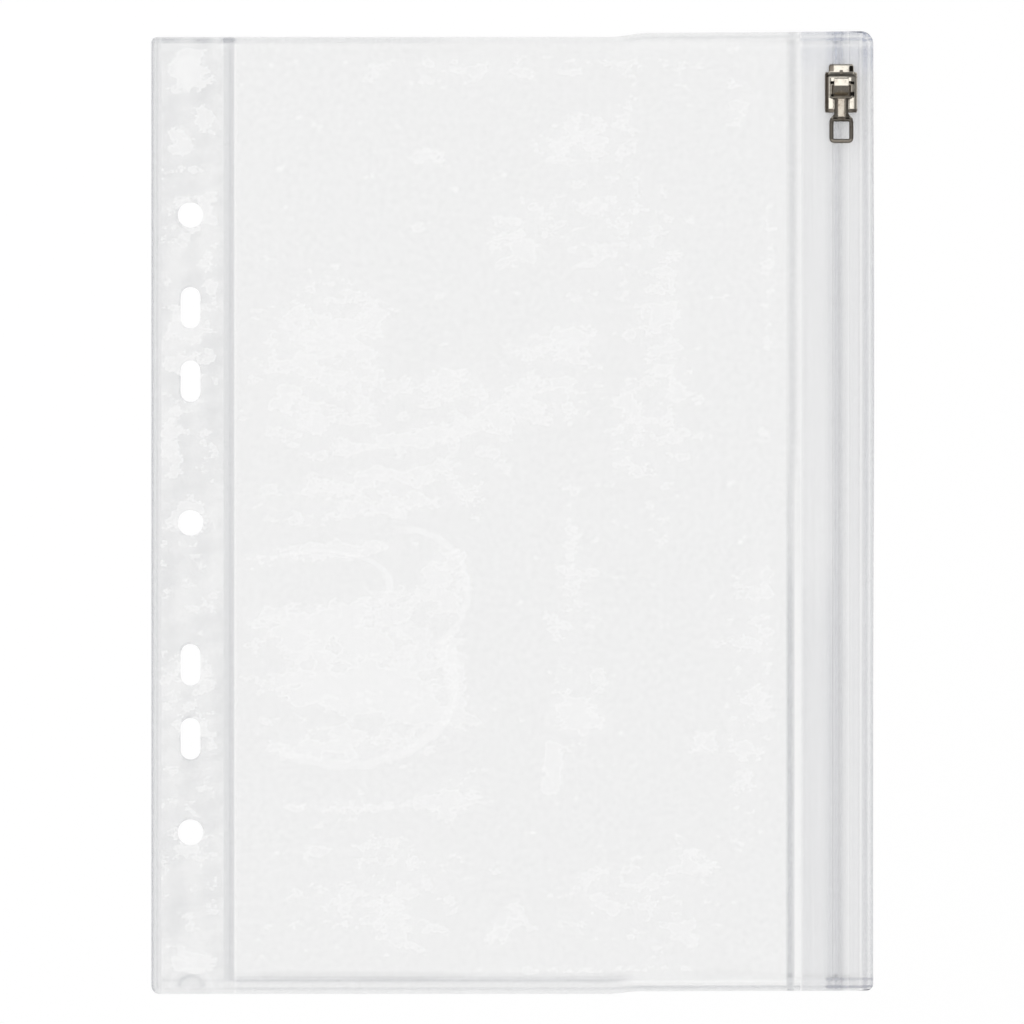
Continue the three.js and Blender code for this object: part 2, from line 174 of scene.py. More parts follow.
# A mesh object in metres from points in millimetres, with the plan and marks that its shader reads,
# smooth between the edges that are sharper than an angle in degrees, or flat without one
def meshObject(name, points, faces, material, plan=None, marks=None, sharp=None):
    mesh = bpy.data.meshes.new(name)
    mesh.from_pydata((np.asarray(points) * mm).tolist(), [], faces)
    mesh.update()
    mesh.polygons.foreach_set("use_smooth", [sharp is not None] * len(mesh.polygons))
    for label, kind, key, values in (("plan", "FLOAT_VECTOR", "vector", plan),
                                     ("marks", "FLOAT_COLOR", "color", marks)):
        if values is not None:
            layer = mesh.attributes.new(label, kind, "POINT")
            layer.data.foreach_set(key, np.asarray(values, np.float32).ravel())
    mesh.materials.append(material)
    if sharp is not None:
        mesh.set_sharp_from_angle(angle=math.radians(sharp))
    thing = bpy.data.objects.new(name, mesh)
    scene.collection.objects.link(thing)
    return thing


# A closed outline with its corners rounded: each becomes the quadratic curve between the points at
# the rounding's distance on its two sides, drawn towards the corner
def roundedOutline(points, radius, steps=3):
    points = np.asarray(points, float)
    radius = np.broadcast_to(radius, len(points))[:, None]
    before, after = np.roll(points, 1, 0) - points, np.roll(points, -1, 0) - points
    lengthBefore = np.linalg.norm(before, axis=1, keepdims=True)
    lengthAfter = np.linalg.norm(after, axis=1, keepdims=True)
    reach = np.minimum(radius, 0.42 * np.minimum(lengthBefore, lengthAfter))
    start = points + before / lengthBefore * reach
    end = points + after / lengthAfter * reach
    share = np.linspace(0, 1, steps + 1)[None, :, None]
    curve = ((1 - share) ** 2 * start[:, None] + 2 * share * (1 - share) * points[:, None]
             + share ** 2 * end[:, None])
    return curve.reshape(-1, 2)


# Puts more points on the long straight runs of a closed outline
def resampled(points, pitch):
    following = np.roll(points, -1, 0)
    counts = np.maximum(np.ceil(np.linalg.norm(following - points, axis=1) / pitch), 1).astype(int)
    return np.concatenate([p + (q - p) * np.linspace(0, 1, n, endpoint=False)[:, None]
                           for p, q, n in zip(points, following, counts)])


# A closed outline of (across, up) carried along a path: at each point of the path it is laid out
# on the two unit vectors side and up. A closed path joins its ends, an open one gets two caps.
def sweep(path, side, up, outline, closed=False):
    path, side, up = (np.asarray(each, float) for each in (path, side, up))
    side, up = np.broadcast_to(side, path.shape), np.broadcast_to(up, path.shape)
    outline = np.broadcast_to(outline, (len(path),) + np.shape(outline)[-2:])
    points = path[:, None] + outline[..., :1] * side[:, None] + outline[..., 1:] * up[:, None]
    index = np.arange(points.shape[0] * points.shape[1]).reshape(points.shape[:2])
    index = np.concatenate([index, index[:1]]) if closed else index
    following = np.roll(index, -1, 1)
    quads = np.stack([index[:-1], following[:-1], following[1:], index[1:]], -1).reshape(-1, 4)
    faces = quads.tolist()
    faces += [] if closed else [index[0][::-1].tolist(), index[-1].tolist()]
    points = points.reshape(-1, 3)
    corners = points[quads] - points.mean(0)
    volume = np.einsum("ij,ij->", corners[:, 0], np.cross(corners[:, 1], corners[:, 2])
                       + np.cross(corners[:, 2], corners[:, 3]))
    return points, faces if volume > 0 else [face[::-1] for face in faces]


# An outline, or one outline for each row, carried straight up the sleeve
def straightForm(rows, outline, height=0.0):
    path = np.stack([rows * 0, rows, rows * 0 + height], -1)
    return sweep(path, (1, 0, 0), (0, 0, 1), outline)


# Rolls over the edges of a piece that are sharper than an angle in degrees
def rollEdges(thing, width, segments, angle):
    rolled = thing.modifiers.new("rolled", "BEVEL")
    rolled.width = width * mm
    rolled.segments = segments
    rolled.limit_method = "ANGLE"
    rolled.angle_limit = math.radians(angle)


# 0 at low and 1 at high, either way round, with a soft start and end
def softStep(value, low, high):
    share = np.clip((value - low) / (high - low), 0, 1)
    return share * share * (3 - 2 * share)


# Straight lines between the rows of a table: a place, then one value or more
def lookUp(rows, place, column=1):
    rows = np.array(rows)
    return np.interp(place, rows[:, 0], rows[:, column])


# Smooth random relief between about -1 and 1: a sum of plane waves of the wavelengths given
def relief(x, y, seed, wavelengths):
    rng = np.random.default_rng(seed)
    total = np.zeros_like(x)
    for wavelength in wavelengths:
        turn, phase = rng.uniform(0, math.pi), rng.uniform(0, 2 * math.pi)
        along = x * math.cos(turn) + y * math.sin(turn)
        total += np.sin(along * 2 * math.pi / wavelength + phase)
    return total / math.sqrt(len(wavelengths))


# The plan of a square-cornered sleeve pulled to its round corners: inside a corner's square, the
# square ring through a point becomes the circle of the same half side
def roundCorners(x, y):
    x, y = x.copy(), y.copy()
    for name, radius in sleeve["corners"].items():
        sideX = 1 if "Right" in name else -1
        sideY = 1 if "top" in name else -1
        awayX = x * sideX - (halfWidth - radius)
        awayY = y * sideY - (halfHeight - radius)
        within = (awayX > 0) & (awayY > 0)
        ring = np.maximum(awayX, awayY)
        length = np.maximum(np.hypot(awayX, awayY), 1e-9)
        x = np.where(within, sideX * (halfWidth - radius + awayX * ring / length), x)
        y = np.where(within, sideY * (halfHeight - radius + awayY * ring / length), y)
    return x, y


# A real sleeve isn't cut quite square: each end moves by its table, in full at the end and less
# with the square of the way to the middle, and the zip's edge bows out in a bell curve
def skewed(x, y):
    up = np.clip(y / halfHeight, 0, 1) ** 2
    down = np.clip(-y / halfHeight, 0, 1) ** 2
    bow = sleeve["bow"]
    outer = np.clip((x - bow["from"]) / (halfWidth - bow["from"]), 0, 1) ** 2
    out = bow["size"] * outer * np.exp(-((y - bow["middle"]) / bow["length"]) ** 2)
    return x + out, y + up * lookUp(sleeve["topSkew"], x) + down * lookUp(sleeve["bottomSkew"], x)


# The punched holes

holes = {
    "line": 8.85 - halfWidth,
    "round": 5.8,
    "slotWidth": 4.5,
    "slotLength": 9.4,
    "drop": 2.1,
    "roundPlaces": (-69.85, 0.0, 69.85),
    "slotPlaces": (-48.8, -32.1, 32.1, 48.8),
    "core": 0.76,  # half side of the lattice square that becomes a hole, in half widths
    "reach": 5.8,  # where the lattice is square again
    "pitch": 0.55,
    # edge and innerEdge set the painted shade round each hole's cut edge: its reach, and its strength
    # away from the punched edge
    "edge": 0.9,  # how far out the cut edge looks dark
    "innerEdge": 0.6,  # how dark, on the side away from the punched edge
}
openings = [(y - holes["drop"], holes["round"], 0.0) for y in holes["roundPlaces"]]
openings += [(y - holes["drop"], holes["slotWidth"], holes["slotLength"] - holes["slotWidth"])
             for y in holes["slotPlaces"]]


# For each opening: how far points lie from its straight middle across and along, the larger of the
# two as their square ring's half side, half its width, and its own square's half side
def aroundOpenings(x, y):
    awayX = x - holes["line"]
    for middle, width, run in openings:
        awayY = y - middle
        overY = np.sign(awayY) * np.maximum(np.abs(awayY) - run / 2, 0)
        ring = np.maximum(np.abs(awayX), np.abs(overY))
        yield awayX, overY, ring, width / 2, holes["core"] * width / 2


# Pulls the lattice round each opening: a square ring becomes the round ring of radius half width
# + (its half side - core), and fades back to square
def punched(x, y):
    newX, newY = x.copy(), y.copy()
    for awayX, overY, ring, half, core in aroundOpenings(x, y):
        length = np.maximum(np.hypot(awayX, overY), 1e-9)
        radius = half + np.maximum(ring - core, 0)
        fade = softStep(ring, core, holes["reach"])
        near = (ring < holes["reach"]) & (ring > core - 1e-6)
        roundX, roundY = awayX * radius / length, overY * radius / length
        newX = np.where(near, holes["line"] + roundX * (1 - fade) + awayX * fade, newX)
        newY = np.where(near, y + (roundY - overY) * (1 - fade), newY)
    return newX, newY


# True where a lattice cell lies inside an opening's square
def isPunchedOut(x, y):
    return np.any([ring < core for *away, ring, half, core in aroundOpenings(x, y)], 0)


# Painted shade round the cut edge of the nearest hole, darker on the punched side
def cutEdges(x, y):
    return np.max([softStep(ring - core, holes["edge"], 0.0)
                   * np.where(awayX < 0, 1.0, holes["innerEdge"])
                   for awayX, overY, ring, half, core in aroundOpenings(x, y)], 0)


# Lattice lines: a base pitch over the whole span, the exact places asked for, and finer lines
# over the stretches given as (from, to, pitch)
def latticeLines(start, end, pitch, places, fine=()):
    lines = [np.linspace(start, end, int(round((end - start) / pitch)) + 1)]
    for low, high, finePitch in fine:
        lines[0] = lines[0][(lines[0] < low - 1e-6) | (lines[0] > high + 1e-6)]
        lines.append(np.linspace(low, high, max(int(round((high - low) / finePitch)), 1) + 1))
    found = np.unique(np.round(np.concatenate(lines), 4))
    for place in places:
        found = found[np.abs(found - place) > 0.12]
        found = np.append(found, place)
    return np.unique(np.round(found[(found >= start) & (found <= end)], 4))


# A film as a thin closed solid: two layers of one lattice, walled wherever a kept cell meets an
# open one
def filmSheet(name, columns, rows, levels, marks, material, underside):
    x, y = np.meshgrid(columns, rows)
    low, high = levels(x, y)
    count = x.size
    cellX = (x[:-1, :-1] + x[1:, 1:]) / 2
    cellY = (y[:-1, :-1] + y[1:, 1:]) / 2
    kept = ~isPunchedOut(cellX, cellY)
    index = np.arange(count).reshape(x.shape)
    a, b, c, d = index[:-1, :-1], index[:-1, 1:], index[1:, 1:], index[1:, :-1]
    faces = [np.stack([a[kept], b[kept], c[kept], d[kept]], 1) + count,
             np.stack([d[kept], c[kept], b[kept], a[kept]], 1)]
    wide = np.pad(kept, 1)
    walls = [
        (index[:, :-1], index[:, 1:], wide[1:, 1:-1] & ~wide[:-1, 1:-1]),
        (index[:, 1:], index[:, :-1], wide[:-1, 1:-1] & ~wide[1:, 1:-1]),
        (index[1:, :], index[:-1, :], wide[1:-1, 1:] & ~wide[1:-1, :-1]),
        (index[:-1, :], index[1:, :], wide[1:-1, :-1] & ~wide[1:-1, 1:]),
    ]
    for first, second, here in walls:
        p, q = first[here], second[here]
        faces.append(np.stack([p, q, q + count, p + count], 1))
    faces = np.concatenate(faces)
    px, py = skewed(*roundCorners(*punched(x, y)))
    points = np.concatenate([np.stack([px, py, z], -1).reshape(-1, 3) for z in (low, high)])
    plan = np.stack([x, y, np.zeros_like(x)], -1).reshape(-1, 3) * mm
    colour = np.concatenate([marks(x, y), np.ones(x.shape + (1,))], -1).reshape(-1, 4)
    used, faces = np.unique(faces, return_inverse=True)
    faces = faces.reshape(-1, 4)
    film = meshObject(name, points[used], faces.tolist(), material,
                      np.tile(plan, (2, 1))[used], np.tile(colour, (2, 1))[used], sharp=50)
    film.data.materials.append(underside)
    below = np.zeros(len(faces), np.int32)
    below[kept.sum():2 * kept.sum()] = 1
    film.data.polygons.foreach_set("material_index", below)
    return film


# Clear plastic

clearPlastic = {
    "haze": 0.091,  # share of light that one face of film stops
    "hazeColour": (0.50, 0.505, 0.505, 1),
    # the seam lines' painted shade: its colour, and how much more haze it adds
    "seamColour": (0.13, 0.15, 0.20, 1),
    "seamShare": 0.15,  # more of it where a seam mark is 1
    "softClear": 0.22,  # how much of the haze goes where the films lie close
    "patchClear": 0.26,  # more of it where they cling together
    "rimClear": 0.28,  # and more again along such a patch's edge
    # how much of the haze a fold's painted highlight takes away
    "foldHighlight": 0.55,  # and along a fold
    "lace": 0.9,  # how much noise breaks the patches up
    "underside": 0.6,  # the underside's haze beside the top's
    "mirror": 2.4,  # index of refraction, for the strength of the gloss
    "gloss": 0.75,
    "roughness": 0.09,
    "passing": 0.985,  # share of lamp light that a face lets through
}
# Painted highlights: bright lines where a clinging patch ends in a fold. An oval's middle, its half
# sizes, and the side on which it is drawn
folds = [
    ((-37.9, -38.9), (24.9, 17.7), (1, -1)),
    ((-43.6, -16.2), (15.9, 7.7), (1, 1)),
    ((-25.5, -17.3), (15.4, 14.1), (1, 0.3)),
]
fold = {"wobble": 0.2, "width": 0.075}      # in an oval's half sizes


# How mirrorlike clear plastic gets towards grazing sight: one less the cosine of the angle off its
# face, to the fifth power
def grazing(tree):
    return add(tree, "ShaderNodeLayerWeight", {}, {"Blend": 0.5}, output=1) ** 5


# Ends a material as clear plastic that lets light from the lamps and off the floor pass
def closeClear(tree, colour, roughness, alpha, bump=None):
    inputs = {"Base Color": colour, "Roughness": roughness, "Alpha": alpha,
              "IOR": clearPlastic["mirror"]}
    if bump:
        inputs["Normal"] = add(tree, "ShaderNodeBump", {}, bump)
    shader = add(tree, "ShaderNodeBsdfPrincipled", {}, inputs)
    path = add(tree, "ShaderNodeLightPath")
    share = clearPlastic["passing"]
    plain = add(tree, "ShaderNodeBsdfTransparent", {}, {"Color": (share, share, share, 1)})
    for ray in ("Is Diffuse Ray", "Is Shadow Ray"):
        shader = add(tree, "ShaderNodeMixShader", {}, {0: path.output(ray), 1: shader, 2: plain})
    close(tree, shader)


# The folds' painted highlights: 1 where the distance from an oval's middle, in its half sizes, is
# near
# 1, on the side that is drawn
def foldLines(tree, plan):
    across = add(tree, "ShaderNodeSeparateXYZ", {}, {"Vector": plan})
    up = across.output(1)
    wobble = (noise(tree, plan, 110, 4, 0.6) - 0.5) * fold["wobble"]
    total = 0.0
    for middle, half, side in folds:
        u = (across - middle[0] * mm) / (half[0] * mm)
        v = (up - middle[1] * mm) / (half[1] * mm)
        off = (u * u + v * v) ** 0.5 + wobble - 1
        line = 1 - step(off * off, 0.0, fold["width"] ** 2)
        total = total + line * step(u * side[0] + v * side[1], 0.1, 0.5)
    return total


# Film: its haze is thinner in clinging patches, and along folds and at bright seam lines, which are
# painted highlights; it is thicker and darker along dark seam lines, which are painted shade; and at
# grazing angles the gloss takes over. Patches are where the cling mark plus noise passes a half.
def filmMaterial(name):
    film = clearPlastic
    material, tree = newMaterial(name)
    plan = planOf(tree)
    seam, bright, cling = marksOf(tree)
    lace = noise(tree, stretched(tree, plan, (0.8, 1.2, 1)), 210, 4, 0.62)
    field = cling + (lace - 0.5) * film["lace"]
    patch = step(field, 0.45, 0.53)
    soft = step(cling, 0.34, 0.58)
    rim = patch * (1 - step(field, 0.53, 0.60))
    grain = noise(tree, plan, 700, 1, 0.6)
    clear = (soft * film["softClear"] + patch * film["patchClear"] + rim * film["rimClear"]
             + foldLines(tree, plan) * (1 - patch * 0.5) * film["foldHighlight"])
    body = film["haze"] * (1 - clear) * (1 - bright) * (0.84 + grain * 0.32)
    # painted shade along the dark seam lines, less where the films cling
    dark = seam * (1 - patch * 0.75) * film["seamShare"]
    colour = mixed(dark / (body + dark + 0.001), film["hazeColour"], film["seamColour"])
    closeClear(tree, colour, film["roughness"] + grain * 0.10,
               body + dark + grazing(tree) * film["gloss"],
               {"Strength": 0.35, "Distance": 0.0002, "Height": noise(tree, plan, 220, 1, 0.5)})
    return material


# The underside of a film: the same plastic, with an even haze
def undersideMaterial(name):
    film = clearPlastic
    material, tree = newMaterial(name)
    closeClear(tree, film["hazeColour"], film["roughness"],
               film["haze"] * film["underside"] + grazing(tree) * film["gloss"])
    return material


# The films

# Across the sleeve from the punched edge: place, how dark the seam's painted shade is, how bright its
# painted highlight
seamsAcross = [
    (0.0, 2.7, 0), (0.35, 2.4, 0), (0.6, 1.3, 0), (0.8, 0.95, 0), (1.05, 1.1, 0), (1.3, 1.35, 0),
    (1.55, 0.95, 0), (1.8, 0.65, 0), (2.1, 0.7, 0), (2.4, 0.36, 0), (16.2, 0.36, 0),
    (16.45, 0.95, 0), (16.9, 1.15, 0), (17.4, 1.25, 0), (17.8, 1.8, 0), (18.2, 1.5, 0),
    (18.55, 1.5, 0), (18.75, 0.6, 0.2), (18.95, 0, 0.7), (19.2, 0, 0.6), (19.5, 0, 0.1),
    (20.2, 0, 0), (143.6, 0, 0), (144.05, 0.6, 0), (144.3, 1.9, 0), (144.9, 2.1, 0),
    (145.4, 1.4, 0), (145.65, 0.5, 0.2), (145.9, 0, 1.0), (146.7, 0, 1.0), (147.1, 0.1, 0.6),
]
# Inward from the two ends, left of the bend in them and right of it
seamsEnd = {
    "bottomLeft": [
        (0.0, 0.3, 0), (0.3, 0.3, 0), (0.65, 0.2, 0), (0.85, 0.75, 0), (1.1, 1.2, 0), (1.3, 1.0, 0),
        (1.55, 0.35, 0), (1.8, 0.15, 0), (2.2, 0.35, 0), (2.45, 0.45, 0), (2.7, 1.05, 0),
        (2.9, 1.5, 0), (3.1, 1.45, 0), (3.35, 1.05, 0), (3.8, 0.8, 0), (4.05, 0.35, 0),
        (4.7, 0.15, 0), (5.2, 0, 0),
    ],
    "bottomRight": [
        (0.0, 0.4, 0), (0.3, 0.55, 0), (0.5, 0.8, 0), (0.75, 1.35, 0), (1.0, 1.85, 0), (1.2, 1.0, 0),
        (1.4, 0.1, 0), (1.65, 0, 0), (1.9, 0, 0.4), (2.1, 0, 0.8), (2.35, 0, 0.75), (2.6, 0, 0.1),
        (3.2, 0, 0),
    ],
    "topLeft": [
        (0.0, 0.2, 0), (0.2, 0.3, 0), (0.45, 0.65, 0), (0.7, 0.68, 0), (0.9, 0.6, 0), (1.1, 0.55, 0),
        (1.35, 0.45, 0), (1.6, 0.1, 0.1), (1.9, 0, 0.15), (2.6, 0, 0.1), (4.0, 0, 0),
    ],
    "topRight": [
        (0.0, 0.1, 0), (0.45, 0.2, 0), (0.7, 0.4, 0), (0.9, 0.7, 0), (1.1, 0.85, 0), (1.35, 0.5, 0),
        (1.6, 0.15, 0), (2.0, 0, 0.15), (2.5, 0, 0.4), (3.2, 0, 0.4), (3.8, 0, 0.2), (5.0, 0, 0),
    ],
}
# Places across are from the punched edge, but for the strengths'. Heights are from the sleeve's
# middle, but for the ends', which are from its lower edge.
seams = {
    # how strong the left tables' lines are along each end
    "topStrength": [(-66.6, 2.6), (-65.4, 5.5), (-63.4, 5.5), (-62.2, 1.0), (-20.0, 1.0),
                    (-12.0, 0.25)],
    "bottomStrength": [(-66.0, 0.5), (-62.0, 1.0)],
    # the seam on the inner tape: going up its painted shade gets weaker and its painted highlight
    # duller, then narrower, and its bright line of painted highlight ends above the bottom seam
    "lap": 140.0,
    "lapFades": (-24, -2),
    "lapWeaker": 0.52,
    "lapDuller": 0.6,
    "lapNarrows": (2, 22),
    "lapNarrower": 0.55,
    "lapEnds": (3.4, 2.6),
    # the strip's inner seam, and how it fades into the bottom one
    "inner": (15, 20),
    "innerEnds": (3.2, 2.5),
    "innerFade": 0.75,
    # the strip between its seams, its end, how uneven it is, and how much clearer where it clings
    "strip": (2.3, 16.3),
    "stripEnd": 17.5,
    "uneven": 0.7,
    "stripBright": 0.6,
}
arch = {"x": -72.85, "y": -106.7, "inner": 2.5, "outer": 4.2, "stretch": 1.1}
# Seeds and wavelengths of the random reliefs
waves = {
    "cling": (21, [37, 26, 19, 15, 12, 10, 9]),
    "haze": (31, [23, 17, 13, 9, 7, 5]),
    "pocket": (5, [62, 47, 38, 29, 23, 17, 14]),
    "strip": (9, [19, 13, 9, 7]),
}
# Where the films cling: place from the sleeve's middle, half sizes, turn in degrees, strength
clings = [
    (-41, 40, 22, 19, 0, 0.535), (-46, 23, 16, 12, 0, 0.53), (-17, 29, 17, 8, 12, 0.525),
    (-22, 17, 36, 4, 9, 0.56), (-24, 8, 34, 3, 8, 0.57), (-30, 1, 30, 2.5, 6, 0.56),
    (-44, -9, 22, 3, 5, 0.64), (-18, -14, 4, 10, -25, 0.64), (-38, -26, 25, 15, 0, 0.64),
    (-33, -42, 30, 13, -4, 0.66), (-15, -16, 7, 13, -10, 0.55), (-13, -38, 3.2, 15, 8, 0.66),
    (-38, -53, 28, 4, 0, 0.55), (11, 38, 15, 7, 8, 0.54), (1, 63, 9, 12, -30, 0.52),
    (16, 84, 16, 9, 15, 0.52), (-19, 81, 6, 3.5, 0, 0.56), (36, 37, 4.5, 36, 0, 0.54),
    (27, 20, 7, 16, 0, 0.51), (13.5, -10, 3.2, 24, 0, 0.53), (15, -46, 10, 6, 0, 0.60),
    (9, -58, 3.2, 8, 0, 0.64), (-38, -66, 20, 2.4, 0, 0.58), (-14, -64, 10, 6, 10, 0.56),
    (-36, -76, 24, 2.5, 0, 0.50), (-27, -92, 15, 10, -25, 0.53), (-2, -93, 4, 10, -35, 0.55),
    (20, -81, 5, 3, 0, 0.55), (42, -79, 7, 4, -15, 0.54), (38, -95, 10, 3.5, -30, 0.53),
    (57, -28, 3, 34, 0, 0.53), (51, -52, 2.2, 14, 18, 0.58), (43, -52, 6, 4, 0, 0.53),
    (58, 55, 3, 22, 0, 0.51), (0, 101, 58, 4, 0, 0.47), (52, 92, 6, 8, 0, 0.50),
    (20, -103, 36, 2, 0, 0.50), (4, 25, 28, 10, 8, 0.52), (-12, 17, 32, 9, 8, 0.50),
    (-30, 5, 38, 10, 7, 0.50), (-40, 32, 26, 26, 0, 0.50), (-36, -38, 32, 24, 0, 0.52),
    (-30, -84, 30, 22, 0, 0.44), (22, 66, 22, 26, 0, 0.45), (34, 30, 12, 44, 0, 0.46),
    (14, -30, 9, 40, 0, 0.45), (54, -40, 9, 44, 0, 0.45), (30, -88, 30, 16, 0, 0.44),
]
# Where the films stand apart again inside such a place
lifts = [
    (-43, -16, 14, 4.5, 4, 0.26), (-24, 13, 30, 1.6, 9, 0.10), (-42, -46, 20, 2.2, -8, 0.20),
    (-24, 38, 6, 6, 0, 0.10),
]
stripClings = [
    (-72.5, 101, 6, 5, -15, 0.72), (-71, 90, 4, 5, 0, 0.60), (-76, 84, 4, 9, 0, 0.56),
    (-73, 68, 8, 7, 0, 0.54), (-73, 38, 8, 15, 0, 0.55), (-68, 55, 4, 8, 0, 0.52),
    (-73, -2, 8, 8, 0, 0.55), (-77, 15, 4, 16, 0, 0.53), (-69, -16, 4, 10, 10, 0.50),
    (-73, -42, 8, 15, 0, 0.55), (-73, -72, 8, 7, 0, 0.55), (-72, -101, 8, 4, 0, 0.62),
    (-68, -86, 4, 10, 0, 0.50),
]


# A soft round patch: 1 at its middle and falling off as a bell curve, a half at its half sizes
def patchAt(x, y, middleX, middleY, halfX, halfY, turn):
    c, s = math.cos(math.radians(turn)), math.sin(math.radians(turn))
    u = ((x - middleX) * c + (y - middleY) * s) / halfX
    v = ((y - middleY) * c - (x - middleX) * s) / halfY
    return np.exp(-0.7 * (u * u + v * v) ** 1.5)


# The strongest of the cling patches at each place, less the lifts, and a slow random relief
def clingAt(x, y, patches, base=0.30):
    total = np.full_like(x, base)
    for *shape, strength in patches:
        total = np.maximum(total, strength * patchAt(x, y, *shape))
    for *shape, strength in lifts:
        total = total - strength * patchAt(x, y, *shape)
    return total + 0.035 * relief(x * 0.8, y * 1.3, *waves["cling"])


# The end seams' lines of painted shade and painted highlight: the left tables and the right ones
# blended across the bend
def endMarks(x, y):
    right = softStep(x, *sleeve["bend"])
    total = 0
    for end, away in (("bottom", y + halfHeight), ("top", halfHeight - y)):
        weights = {"Left": (1 - right) * lookUp(seams[end + "Strength"], x), "Right": right}
        for side, weight in weights.items():
            lines = [lookUp(seamsEnd[end + side], away, column) for column in (1, 2)]
            total = total + weight * np.stack(lines)
    return total


# The arched crease in the strip's lower end, by distance from its middle: painted shade under it, a
# painted highlight round it
def archMarks(x, y):
    ring = np.hypot((x - arch["x"]) / arch["stretch"], y - arch["y"])
    upper = softStep(y - arch["y"], -0.5, 0.3)
    dark = 0.8 * np.exp(-((ring - arch["inner"]) / 0.5) ** 2) + 0.6 * softStep(ring, 3.4, 2.4)
    return dark * upper, np.exp(-((ring - arch["outer"]) / 0.6) ** 2) * upper


# Where nothing holds the films together, between the seams
def freeOfSeams(fromLeft, fromBottom):
    free = softStep(fromBottom, 3.2, 5) * softStep(fromBottom, 214.6, 213.5)
    free = free * softStep(fromLeft, 1.0, 2.4) * softStep(fromLeft, 144, 142)
    return free * (1 - softStep(fromLeft, 15.6, 16.4) * softStep(fromLeft, 20, 18.9))


# The front film's marks: the strongest dark line of painted shade, the strongest bright one, a
# painted highlight along the seams and the arch and clearer film where the strip clings, and the
# cling weight
def frontMarks(x, y):
    fromLeft, fromBottom = x + halfWidth, y + halfHeight
    onLap = fromLeft > seams["lap"]
    upper = softStep(y, *seams["lapFades"]) * onLap
    narrow = fromLeft - seams["lapNarrower"] * softStep(y, *seams["lapNarrows"]) * onLap
    across = lookUp(seamsAcross, narrow) * (1 - seams["lapWeaker"] * upper)
    acrossBright = lookUp(seamsAcross, narrow, 2) * (1 - seams["lapDuller"] * upper)
    acrossBright = acrossBright * (1 - softStep(fromBottom, *seams["lapEnds"]) * onLap)
    onInner = (fromLeft > seams["inner"][0]) * (fromLeft < seams["inner"][1])
    across = across * (1 - seams["innerFade"] * softStep(fromBottom, *seams["innerEnds"]) * onInner)
    ends, endsBright = endMarks(x, y)
    archDark, archBright = archMarks(x, y)
    dark = np.maximum.reduce([across, ends, cutEdges(x, y), archDark])
    bright = np.clip(np.maximum.reduce([acrossBright, endsBright, archBright]), 0, 1)
    between = (fromLeft > seams["strip"][0]) & (fromLeft < seams["strip"][1])
    uneven = np.clip(1 + seams["uneven"] * relief(x, y, *waves["haze"]), 0.2, 2.4)
    dark = np.where(between, dark * uneven, dark)
    inStrip = fromLeft < seams["stripEnd"]
    cling = np.where(inStrip, clingAt(x, y, stripClings, 0.38), clingAt(x, y, clings))
    bright = np.maximum(bright, seams["stripBright"] * softStep(cling, 0.55, 0.66) * inStrip)
    return np.stack([dark, bright, cling * freeOfSeams(fromLeft, fromBottom)], -1)


# The back film's marks: the front film's, a quarter as dark and half as bright
def backMarks(x, y):
    return frontMarks(x, y) * (0.25, 0.5, 1.0)


# The back film lies flat on the table
def backLevels(x, y):
    low = np.zeros_like(x)
    return low, low + backTop


# Places across are from the punched edge
pocket = {
    "bottomSeam": 3.0,  # how wide the end seams are
    "topSeam": 2.0,
    "rise": 2.5,  # over which the pocket opens beside them
    "loose": (18.8, 26),  # from the punched edge, where it opens beside the strip
    "slack": 0.42,  # how far apart the films stand,
    "ripple": 0.20,  # more or less by this,
    "flattened": 0.75,  # and less by this share where they cling
    "stripSlack": 0.03,
    "stripRipple": 0.02,
    "toTape": (131, 143.6),  # where the front film rises to the inner tape's flange
    "tape": 0.8,  # the flange's height over the back film
    "crushedTape": 0.3,  # and in the end seams
    "thinned": 0.08,  # how much a seam is pressed thinner
}


# The front film: pressed thin and flat on the back film in the seams, loose over the pocket,
# where it rises to the zip's flange, and rippled where it doesn't cling
def frontLevels(x, y):
    p = pocket
    bottom, top = p["bottomSeam"], p["topSeam"]
    fromLeft, fromBottom, fromTop = x + halfWidth, y + halfHeight, halfHeight - y
    opened = (softStep(fromBottom, bottom, bottom + p["rise"])
              * softStep(fromTop, top, top + p["rise"]))
    loose = softStep(fromLeft, *p["loose"]) * opened
    cling = np.clip(clingAt(x, y, clings) * 1.6, 0, 1)
    puff = p["slack"] + p["ripple"] * relief(x, y, *waves["pocket"])
    puff = np.maximum(puff * (1 - p["flattened"] * cling), 0.02)
    strip = p["stripSlack"] + p["stripRipple"] * relief(x, y, *waves["strip"])
    crushed = 1 - softStep(fromBottom, bottom, bottom + 1) * softStep(fromTop, top, top + 1)
    raised = aboveBack + p["tape"] * (1 - crushed) + p["crushedTape"] * crushed
    onTape = softStep(fromLeft, *p["toTape"])
    low = aboveBack + loose * puff + strip * opened * (fromLeft < 18)
    low = low * (1 - onTape) + raised * onTape
    inSeam = 1 - np.minimum.reduce([
        softStep(np.abs(fromLeft - 1.15), 1.15, 1.45), softStep(np.abs(fromLeft - 17.45), 1.35, 1.65),
        softStep(fromBottom, bottom - 0.3, bottom + 0.1), softStep(fromTop, top - 0.3, top + 0.1),
        1 - softStep(fromLeft, 143.7, 144.0),
    ])
    return low, low + sleeve["film"] - p["thinned"] * inSeam


